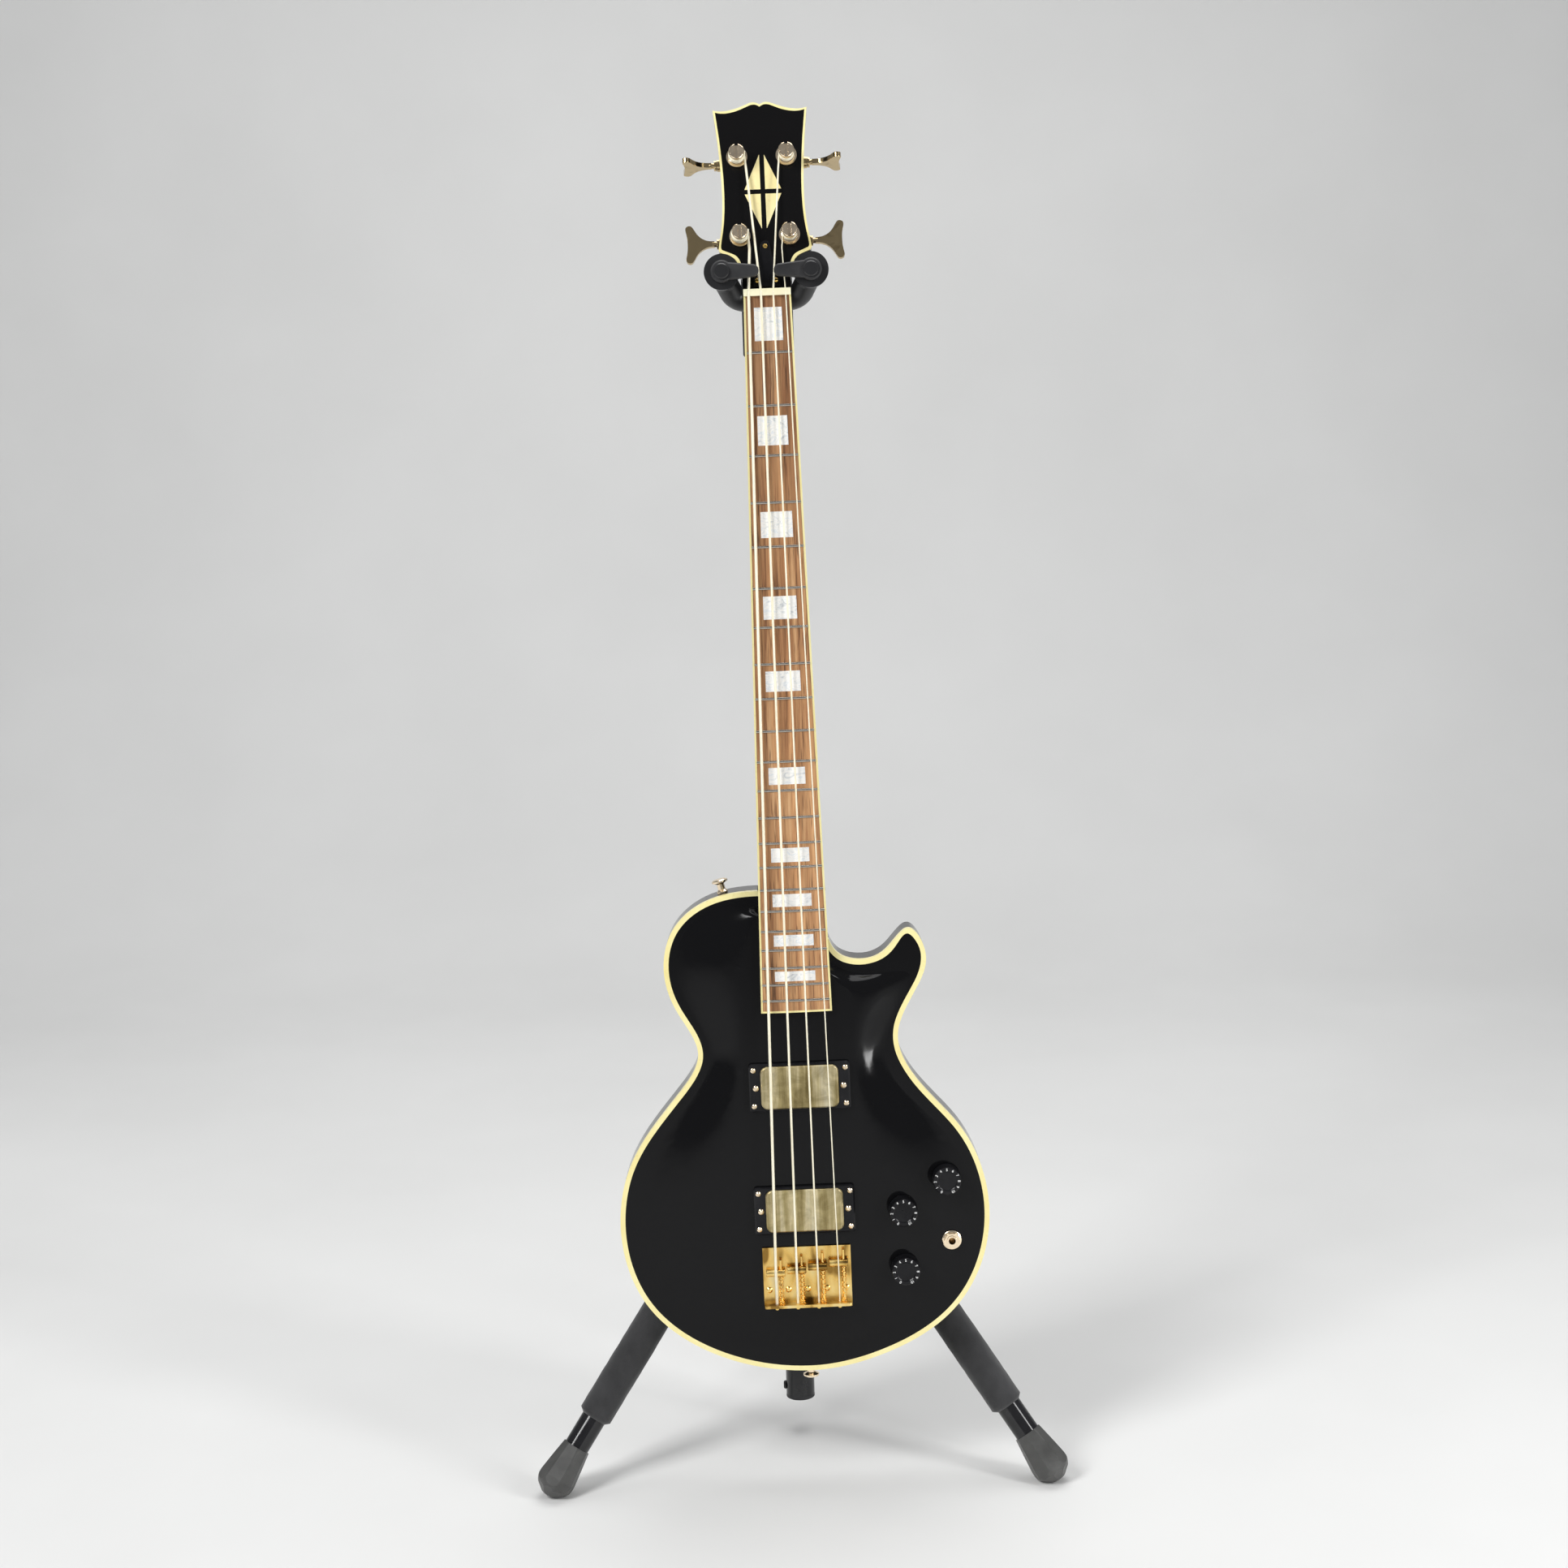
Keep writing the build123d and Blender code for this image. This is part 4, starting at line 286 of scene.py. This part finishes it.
def moulded(name, colour, rough, grain, strength, shine=0.5):
    """Moulded plastic or rubber with a fine texture, paler where it is worn."""
    wear_gain, wear_lift = 1.7, 0.006
    f = Finish(name, colour, roughness=rough, Specular_IOR_Level=shine)
    fine = f.noise((grain, grain, grain), detail=3.0)
    wear = f.noise((34, 34, 34), detail=5.0, rough=0.6)
    pale = [min(1.0, wear_gain * c + wear_lift) for c in colour]
    f.put("Base Color", f.ramp(wear, [(0.35, colour), (0.75, pale)]))
    f.put("Roughness", f.levels(wear, rough - 0.06, rough + 0.08))
    f.bump(fine, strength=strength, distance=0.0003)
    return f.material


def foam():
    """Closed-cell foam: matt, with small cells and a dusty bloom."""
    f = Finish("foam", (0.021, 0.021, 0.022), roughness=0.9, Sheen_Weight=0.25)
    dust = f.noise((22, 22, 14), detail=6.0, rough=0.65)
    f.put("Base Color", f.ramp(dust, [(0.35, (0.015, 0.015, 0.016)), (0.75, (0.042, 0.042, 0.044))]))
    f.bump(f.cells((1500, 1500, 1500)), strength=0.35, distance=0.0004)
    f.bump(f.noise((120, 120, 120), detail=4.0), strength=0.2, distance=0.0008)
    return f.material


def coated():
    """Satin black powder coat."""
    f = Finish("powder_coat", (0.012, 0.012, 0.013), roughness=0.34, Coat_Weight=0.2, Coat_Roughness=0.2)
    f.put("Roughness", f.levels(f.noise((40, 40, 12), detail=5.0), 0.26, 0.44))
    f.bump(f.noise((1400, 1400, 1400), detail=2.0), strength=0.06, distance=0.0002)
    return f.material


def metal(name, tone, rough, grain):
    """Plain bright metal with fine scratches."""
    f = Finish(name, tone, roughness=rough, metallic=1.0)
    scratch = f.noise(grain, detail=4.0)
    f.put("Roughness", f.levels(scratch, rough - 0.06, rough + 0.12))
    f.bump(scratch, strength=0.06, distance=0.0002)
    return f.material


def wound_string():
    """Round-wound string with fine grooves across it."""
    f = Finish("wound_string", (0.9, 0.87, 0.79), roughness=0.42, metallic=0.35)
    groove = f.node("TexWave", {"Vector": f.mapped((1, 1, 1)), "Scale": 620.0, "Distortion": 0.0},
                    bands_direction="Z").outputs["Fac"]
    age = f.noise((400, 400, 9), detail=4.0)
    f.put("Base Color", f.ramp(age, [(0.35, (0.98, 0.94, 0.76)), (0.75, (0.86, 0.79, 0.58))]))
    f.put("Roughness", f.levels(age, 0.38, 0.52))
    f.bump(groove, strength=0.5, distance=0.0002)
    return f.material


FINISHES = {
    "body_lacquer": lacquer("body_lacquer", (0.0045, 0.0045, 0.005)),
    "neck_lacquer": lacquer("neck_lacquer", (0.005, 0.0048, 0.005)),
    "cream_binding": celluloid("cream_binding", (0.9, 0.82, 0.42), (0.83, 0.72, 0.31)),
    "nut_bone": celluloid("nut_bone", (0.88, 0.85, 0.62), (0.8, 0.74, 0.48)),
    "rosewood": rosewood(),
    "pearl": pearl(),
    "fret_metal": metal("fret_metal", (0.5, 0.47, 0.42), rough=0.22, grain=(40, 900, 900)),
    "steel": metal("steel", (0.56, 0.56, 0.57), rough=0.3, grain=(300, 300, 300)),
    "black_plastic": moulded("black_plastic", (0.005, 0.005, 0.006), rough=0.14, grain=500, strength=0.02,
                             shine=0.2),
    "gold": gold("gold_plate", (0.9, 0.62, 0.2), (0.5, 0.32, 0.1), rough=0.12, patches=(60, 60, 60)),
    "string_steel": wound_string(),
    "stand_paint": coated(),
    "stand_plastic": moulded("stand_plastic", (0.012, 0.012, 0.013), rough=0.48, grain=900, strength=0.12),
    "stand_foam": foam(),
    "stand_rubber": moulded("stand_rubber", (0.013, 0.013, 0.014), rough=0.62, grain=700, strength=0.16),
}
PICKUP_GOLD = tarnished()
BRIDGE_GOLD_PAINTED_REFLECTION = bridge_gold()
# Darker copy of the gold plate, for the tuner keys and housings: painted shade for the dark surroundings their
# faces reflect; its patches are tarnish, as on all the gold
WORN_GOLD_PAINTED_SHADE = gold("worn_gold_painted_shade", (0.6, 0.46, 0.25), (0.26, 0.18, 0.08), rough=0.1, patches=(60, 60, 60))
# Paler copy of the gold plate, for posts, bushings, jack, strap buttons and pickup screws: painted highlight for
# the lamps' glare on them
PALE_GOLD_PAINTED_HIGHLIGHT = gold("pale_gold_painted_highlight", (1.0, 0.83, 0.6), (0.6, 0.44, 0.26), rough=0.16, patches=(120, 120, 120))
FOOT_RUBBER = moulded("foot_rubber", (0.05, 0.05, 0.048), rough=0.36, grain=700, strength=0.1)
GLOSS_PAINT = moulded("gloss_paint", (0.008, 0.008, 0.009), rough=0.12, grain=400, strength=0.02)
PRINT = moulded("white_print", (0.86, 0.86, 0.84), rough=0.4, grain=900, strength=0.02)
HEAD_PEARL = celluloid("head_pearl", (0.86, 0.77, 0.42), (0.78, 0.66, 0.3))

slot_of = {s["node"]: s["material_slot"] for s in frame["record"]["subparts"]}
OWN_FINISHES = (
    (WORN_GOLD_PAINTED_SHADE, ("tuner_key", "tuner_housings")),
    (PALE_GOLD_PAINTED_HIGHLIGHT, ("tuner_bushings", "string_post", "output_jack", "strap_buttons", "pickup_screws")),
    (BRIDGE_GOLD_PAINTED_REFLECTION, ("bridge_plate", "saddle_")),
    (FINISHES["gold"], ("intonation_screws",)),
    (PICKUP_GOLD, ("pickup_neck", "pickup_bridge")),
    (HEAD_PEARL, ("headstock_inlay",)),
    (FOOT_RUBBER, ("foot_",)),
    (GLOSS_PAINT, ("leg_left", "leg_right", "leg_rear", "lower_tube", "upper_tube")),
)
for name, obj in nodes.items():
    own = [finish for finish, starts in OWN_FINISHES if name.startswith(starts)]
    obj.data.materials.clear()
    obj.data.materials.append(own[0] if own else FINISHES[slot_of[name]])


def dress(obj, slot, body, *replaced, material=None):
    """Give a new piece its finish and its body, and hide the nodes it stands for."""
    obj.data.materials.append(material or FINISHES[slot])
    if body:
        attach(obj, body)
    if replaced:
        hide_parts(*replaced)
    return obj


def ring_mesh(name, vertices, sides):
    """Smooth skin over rings of vertices, closed by a flat face at both ends."""
    count = len(vertices) // sides
    faces = []
    for k in range(count - 1):
        for s in range(sides):
            a, b = k * sides + s, k * sides + (s + 1) % sides
            faces.append((a, b, b + sides, a + sides))
    faces.append(tuple(range(sides - 1, -1, -1)))
    faces.append(tuple(range((count - 1) * sides, count * sides)))
    mesh = bpy.data.meshes.new(name)
    mesh.from_pydata(vertices, [], faces)
    mesh.polygons.foreach_set("use_smooth", [len(f) == 4 for f in faces])
    return link(bpy.data.objects.new(name, mesh))


def tube_mesh(name, points, radius, sides):
    """Closed round tube through points."""
    count = len(points)
    vertices = []
    heading = (points[1] - points[0]).normalized()
    across = heading.orthogonal().normalized()
    for k, point in enumerate(points):
        ahead = (points[min(k + 1, count - 1)] - points[max(k - 1, 0)]).normalized()
        across = (across - ahead * across.dot(ahead)).normalized()
        other = ahead.cross(across)
        for s in range(sides):
            angle = 2 * math.pi * s / sides
            vertices.append(point + radius * (math.cos(angle) * across + math.sin(angle) * other))
    return ring_mesh(name, vertices, sides)


def crowned(x, middle):
    """Height across the strings that follows the fretboard's radius."""
    return middle - x * x / (2 * BOARD_RADIUS)


def line_points(a, b, steps):
    """Points in equal steps from a towards b, without b itself."""
    return [a.lerp(b, k / steps) for k in range(steps)]


def string_x(k, spread):
    """Place of a string across the guitar, where the four have a given spread."""
    return spread * (k / 3 - 0.5)


def make_string(k):
    """String from its ball over saddle and nut, with its turns on the post."""
    name, radius = STRINGS[k], STRING_RADII[k]
    x = string_x(k, SADDLE_SPREAD)
    nut_x = string_x(k, NUT_SPREAD)
    crest = -(SCALE + COMPENSATION[k])
    side = -1 if k < 2 else 1
    post = Vector(joints["post_%s_turn" % name]["pos_m"])
    wrap = MM * (POST_RADIUS + WRAP_CLEAR + radius)
    pitch = MM * (2 * radius + WRAP_GAP)
    start = 0.0 if side < 0 else math.pi
    steps = 28
    coil = []
    for n in range(int(WRAP_TURNS * steps) + 1):
        angle = start - side * 2 * math.pi * n / steps
        rise = MM * (WRAP_BASE + radius) + pitch * n / steps
        coil.append(post + wrap * (math.cos(angle) * AXIS_X + math.sin(angle) * HEAD_UP) + rise * HEAD_N)
    ball = guitar(x, ANCHOR[0] - BALL_BACK, ANCHOR[1])
    saddle = guitar(x, crest - CREST_BACK, crowned(x, SADDLE_Z))
    nut = guitar(nut_x, NUT_CREST_Y, crowned(nut_x, NUT_Z))
    lead = coil[0] - MM * LEAD * (coil[1] - coil[0]).normalized()
    points = line_points(ball, saddle, steps=8) + line_points(saddle, nut, steps=60)
    points += line_points(nut, lead, steps=10) + line_points(lead, coil[0], steps=4) + coil
    points.append(coil[-1] + 2 * MM * radius * (coil[-1] - coil[-2]).normalized())
    piece = tube_mesh("string_" + name, points, MM * radius, sides=12)
    dress(piece, "string_steel", "guitar")
    bpy.ops.mesh.primitive_uv_sphere_add(segments=20, ring_count=12, radius=BALL_RADIUS * MM,
                                         location=ball)
    end = bpy.context.object
    end.name = "ball_end_" + name
    end.data.polygons.foreach_set("use_smooth", [True] * len(end.data.polygons))
    dress(end, "gold", "guitar")
    return piece


string_pieces = [make_string(k) for k in range(4)]
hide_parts("strings")


def make_spring(k):
    """Spring with closed ends that stretches between the bridge's lip and its saddle."""
    name = STRINGS[k]
    x = string_x(k, SADDLE_SPREAD) + SPRING["x"]
    rear = SPRING["rear"] + SPRING["wire"] + SPRING["clear"]
    front = -(SCALE + COMPENSATION[k]) - SADDLE_RADIUS - SPRING["wire"] - SPRING["clear"]
    turns, steps = 2 * SPRING_CLOSED + SPRING_ACTIVE, 18
    points = []
    wire = 2 * SPRING["wire"] * CLOSED_PITCH
    for n in range(int(turns * steps) + 1):
        turn = n / steps
        if turn < SPRING_CLOSED:
            y = rear + wire * turn
        elif turn > SPRING_CLOSED + SPRING_ACTIVE:
            y = front - wire * (turns - turn)
        else:
            y = rear + wire + (front - rear - 2 * wire) * (turn - SPRING_CLOSED) / SPRING_ACTIVE
        angle = 2 * math.pi * turn
        points.append(guitar(x + SPRING["radius"] * math.cos(angle), y,
                             SPRING["z"] + SPRING["radius"] * math.sin(angle)))
    piece = tube_mesh("spring_" + name, points, MM * SPRING["wire"], sides=8)
    dress(piece, "gold", None)
    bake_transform(piece)
    return piece


spring_pieces = [make_spring(k) for k in range(4)]
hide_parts("saddle_springs")


def reach_along(node, point, direction, side):
    """How far a node's vertices on one side of the part reach along an axis, and their largest radius."""
    offsets = [v.co - point for v in nodes[node].data.vertices if side * v.co.x > 0]
    along = [o.dot(direction) for o in offsets]
    radius = max((o - a * direction).length for o, a in zip(offsets, along))
    return min(along), max(along), radius


def sleeve(name, point, direction, span, radii, uneven, edge):
    """Soft sleeve round an axis: rolled ends, and a skin that dips a little below its full radius."""
    across = direction.orthogonal().normalized()
    other = direction.cross(across)
    low, high = span
    inner, outer = radii
    rings, sides = 80, 44
    fine_around, fine_along, broad_along, shift = 3, 110, 25, 40
    level, fine_share, broad_share = 0.5, 0.5, 0.6
    vertices = []
    for k in range(rings + 1):
        place = low + (high - low) * k / rings
        near = min(1.0, min(place - low, high - place) / edge)
        roll = math.sqrt(1 - (1 - near) ** 2)
        for s in range(sides):
            angle = 2 * math.pi * s / sides
            around = Vector((math.cos(angle), math.sin(angle), 0))
            spot = Vector((fine_around * around.x, fine_around * around.y, fine_along * place))
            fine = noise.noise(spot)
            broad = noise.noise(Vector((around.x, around.y, broad_along * place + shift * point.x)))
            dip = uneven * max(0.0, level + fine_share * fine + broad_share * broad)
            size = inner + (outer - dip - inner) * roll
            vertices.append(point + direction * place + size * (around.x * across + around.y * other))
    piece = ring_mesh(name, vertices, sides)
    return piece


def make_foam(side, sign):
    """Foam sleeve round a front leg, as long and as thick as its solid."""
    hinge = Vector(joints["leg_%s_fold" % side]["pos_m"])
    turn = Vector(joints["leg_%s_fold" % side]["axis"]).normalized()
    outward = Vector((turn.y, -turn.x, 0))
    outward = outward if outward.x * sign > 0 else -outward
    down = ((FOOT_REACH - HINGE_R) * outward - Vector((0, 0, hinge.z - FOOT_RISE))).normalized()
    low, high, radius = reach_along("foam_" + side, hinge, down, sign)
    radii = (LEG_RADIUS, radius)
    piece = sleeve("foam_sleeve_" + side, hinge, down, (low, high), radii, FOAM_DIP, FOAM_ROLL)
    dress(piece, "stand_foam", "leg_" + side, "foam_" + side)


def make_pad(side, sign):
    """Rubber sleeve round an arm of the cradle, where the headstock hangs."""
    pivot = Vector(joints["gate_%s_swing" % side]["pos_m"])
    axis = Vector(joints["gate_%s_swing" % side]["axis"]).normalized()
    low, high, radius = reach_along("cradle_pads", pivot, axis, sign)
    radii = (ARM_RADIUS, radius)
    piece = sleeve("arm_pad_" + side, pivot, axis, (low, high), radii, PAD_DIP, PAD_ROLL)
    dress(piece, "stand_rubber", "cradle")
    return piece


for side, sign in (("left", -1), ("right", 1)):
    make_foam(side, sign)
pads = [make_pad(side, sign) for side, sign in (("left", -1), ("right", 1))]
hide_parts("cradle_pads")


def soften(node, width):
    """Round the sharp edges of a solid by a width in millimetres."""
    weld = nodes[node].modifiers.new("weld", "WELD")
    weld.merge_threshold = WELD_GAP
    bevel = nodes[node].modifiers.new("bevel", "BEVEL")
    bevel.width = width * MM
    bevel.segments = BEVEL_SEGMENTS
    bevel.limit_method = "ANGLE"
    bevel.angle_limit = math.radians(BEVEL_ANGLE)
    bevel.harden_normals = True


for name in STRINGS:
    soften("tuner_key_" + name, 1.3)
    soften("saddle_" + name, 0.4)
    soften("string_post_" + name, 1.2)
for name, width in (("pickup_neck", 1.5), ("pickup_bridge", 1.5), ("bridge_plate", 0.4), ("gate_left", 0.6),
                    ("gate_right", 0.6), ("truss_rod_cover", 0.4), ("yoke_head", 0.8), ("output_jack", 0.5),
                    ("knob_upper", 0.8), ("knob_middle", 0.8), ("knob_lower", 0.8)):
    soften(name, width)


def knob_numbers(name):
    """Numbers printed round the knob's rim, with a gap between the last and the first."""
    x, y = KNOBS[name]
    top = max(AXIS_Z.dot(v.co - ORIGIN) for v in nodes["knob_" + name].data.vertices) / MM
    for number in range(LAST_MARK + 1):
        angle = math.radians(90 + MARK_SWEEP / 2 - MARK_SWEEP * number / LAST_MARK)
        curve = bpy.data.curves.new("mark_%s_%d" % (name, number), "FONT")
        curve.body = str(number)
        curve.size = MARK_SIZE * MM
        curve.extrude = MARK_DEPTH * MM
        curve.align_x = "CENTER"
        curve.align_y = "CENTER"
        text = link(bpy.data.objects.new(curve.name, curve))
        radial = math.cos(angle) * AXIS_X + math.sin(angle) * AXIS_Y
        right = radial.cross(AXIS_Z)
        place = guitar(x, y, top + MARK_LIFT) + MARK_RADIUS * MM * radial
        text.matrix_world = placed(right, radial, AXIS_Z, place)
        dress(text, "nut_bone", "knob_" + name, material=PRINT)


for name in KNOBS:
    knob_numbers(name)


# Studio, with lengths in metres
FLOOR_FRONT, FLOOR_HALF = -5.0, 6.0
SWEEP_START, SWEEP_RADIUS, SWEEP_STEPS = 1.6, 1.2, 12
BACKDROP_TOP = 5.0
WORLD_COLOUR, WORLD_STRENGTH = (0.93, 0.95, 1.0, 1.0), 0.22


def stage_floor():
    """Pale floor that rises into a backdrop."""
    profile = [(FLOOR_FRONT, 0.0), (SWEEP_START, 0.0)]
    for k in range(1, SWEEP_STEPS + 1):
        angle = math.radians(90 * k / SWEEP_STEPS)
        rise = SWEEP_RADIUS - SWEEP_RADIUS * math.cos(angle)
        profile.append((SWEEP_START + SWEEP_RADIUS * math.sin(angle), rise))
    profile.append((SWEEP_START + SWEEP_RADIUS, BACKDROP_TOP))
    vertices, faces = [], []
    for y, z in profile:
        vertices += [(-FLOOR_HALF, y, z), (FLOOR_HALF, y, z)]
    for k in range(len(profile) - 1):
        faces.append((2 * k, 2 * k + 1, 2 * k + 3, 2 * k + 2))
    mesh = bpy.data.meshes.new("studio_floor")
    mesh.from_pydata(vertices, [], faces)
    mesh.polygons.foreach_set("use_smooth", [True] * len(faces))
    floor = link(bpy.data.objects.new("studio_floor", mesh))
    f = Finish("studio_paper", (0.72, 0.72, 0.71), roughness=0.9)
    tone = f.ramp(f.noise((2, 2, 2), detail=3.0), [(0.3, (0.7, 0.7, 0.69)), (0.7, (0.74, 0.74, 0.73))])
    f.put("Base Color", tone)
    floor.data.materials.append(f.material)


def lamp(name, place, aim, size, power, tall=None):
    """Soft rectangular lamp that looks at a point."""
    data = bpy.data.lights.new(name, "AREA")
    data.shape = "RECTANGLE"
    data.size = size
    data.size_y = tall or size
    data.energy = power
    obj = link(bpy.data.objects.new(name, data))
    obj.location = place
    obj.rotation_euler = (Vector(aim) - Vector(place)).to_track_quat("-Z", "Y").to_euler()


stage_floor()
lamp("key", (-1.9, -2.0, 2.6), aim=(0, -0.1, 0.7), size=1.0, power=82, tall=1.6)
lamp("fill", (2.2, -1.5, 1.5), aim=(0, -0.1, 0.7), size=0.5, power=34, tall=1.9)
lamp("top", (0.2, 0.5, 3.0), aim=(0, 0.1, 0.6), size=2.0, power=42)
lamp("strip", (1.28, -1.3, 0.32), aim=(0, -0.15, 0.45), size=0.1, power=5, tall=0.6)
world = bpy.data.worlds.new("studio")
bpy.context.scene.world = world
world.use_nodes = True
background = world.node_tree.nodes["Background"]
background.inputs["Color"].default_value = WORLD_COLOUR
background.inputs["Strength"].default_value = WORLD_STRENGTH

# Camera at the photograph's view, its axes and its place given in the guitar's own frame
SENSOR = 36.0
FOCAL_PIXELS, IMAGE_PIXELS = 3030, 1932
RIGHT = 0.99915 * AXIS_X - 0.0409 * AXIS_Y + 0.0047 * AXIS_Z
UP = 0.0412 * AXIS_X + 0.9926 * AXIS_Y - 0.1144 * AXIS_Z
BACK = 0.1145 * AXIS_Y + 0.9934 * AXIS_Z
EYE = guitar(-2.9, -176.7, 2180)
camera_data = bpy.data.cameras.new("camera")
camera_data.sensor_width = SENSOR
camera_data.lens = SENSOR * FOCAL_PIXELS / IMAGE_PIXELS
camera = link(bpy.data.objects.new("camera", camera_data))
camera.matrix_world = placed(RIGHT, UP, BACK, EYE)
bpy.context.scene.camera = camera
bpy.context.scene.view_settings.view_transform = "Standard"
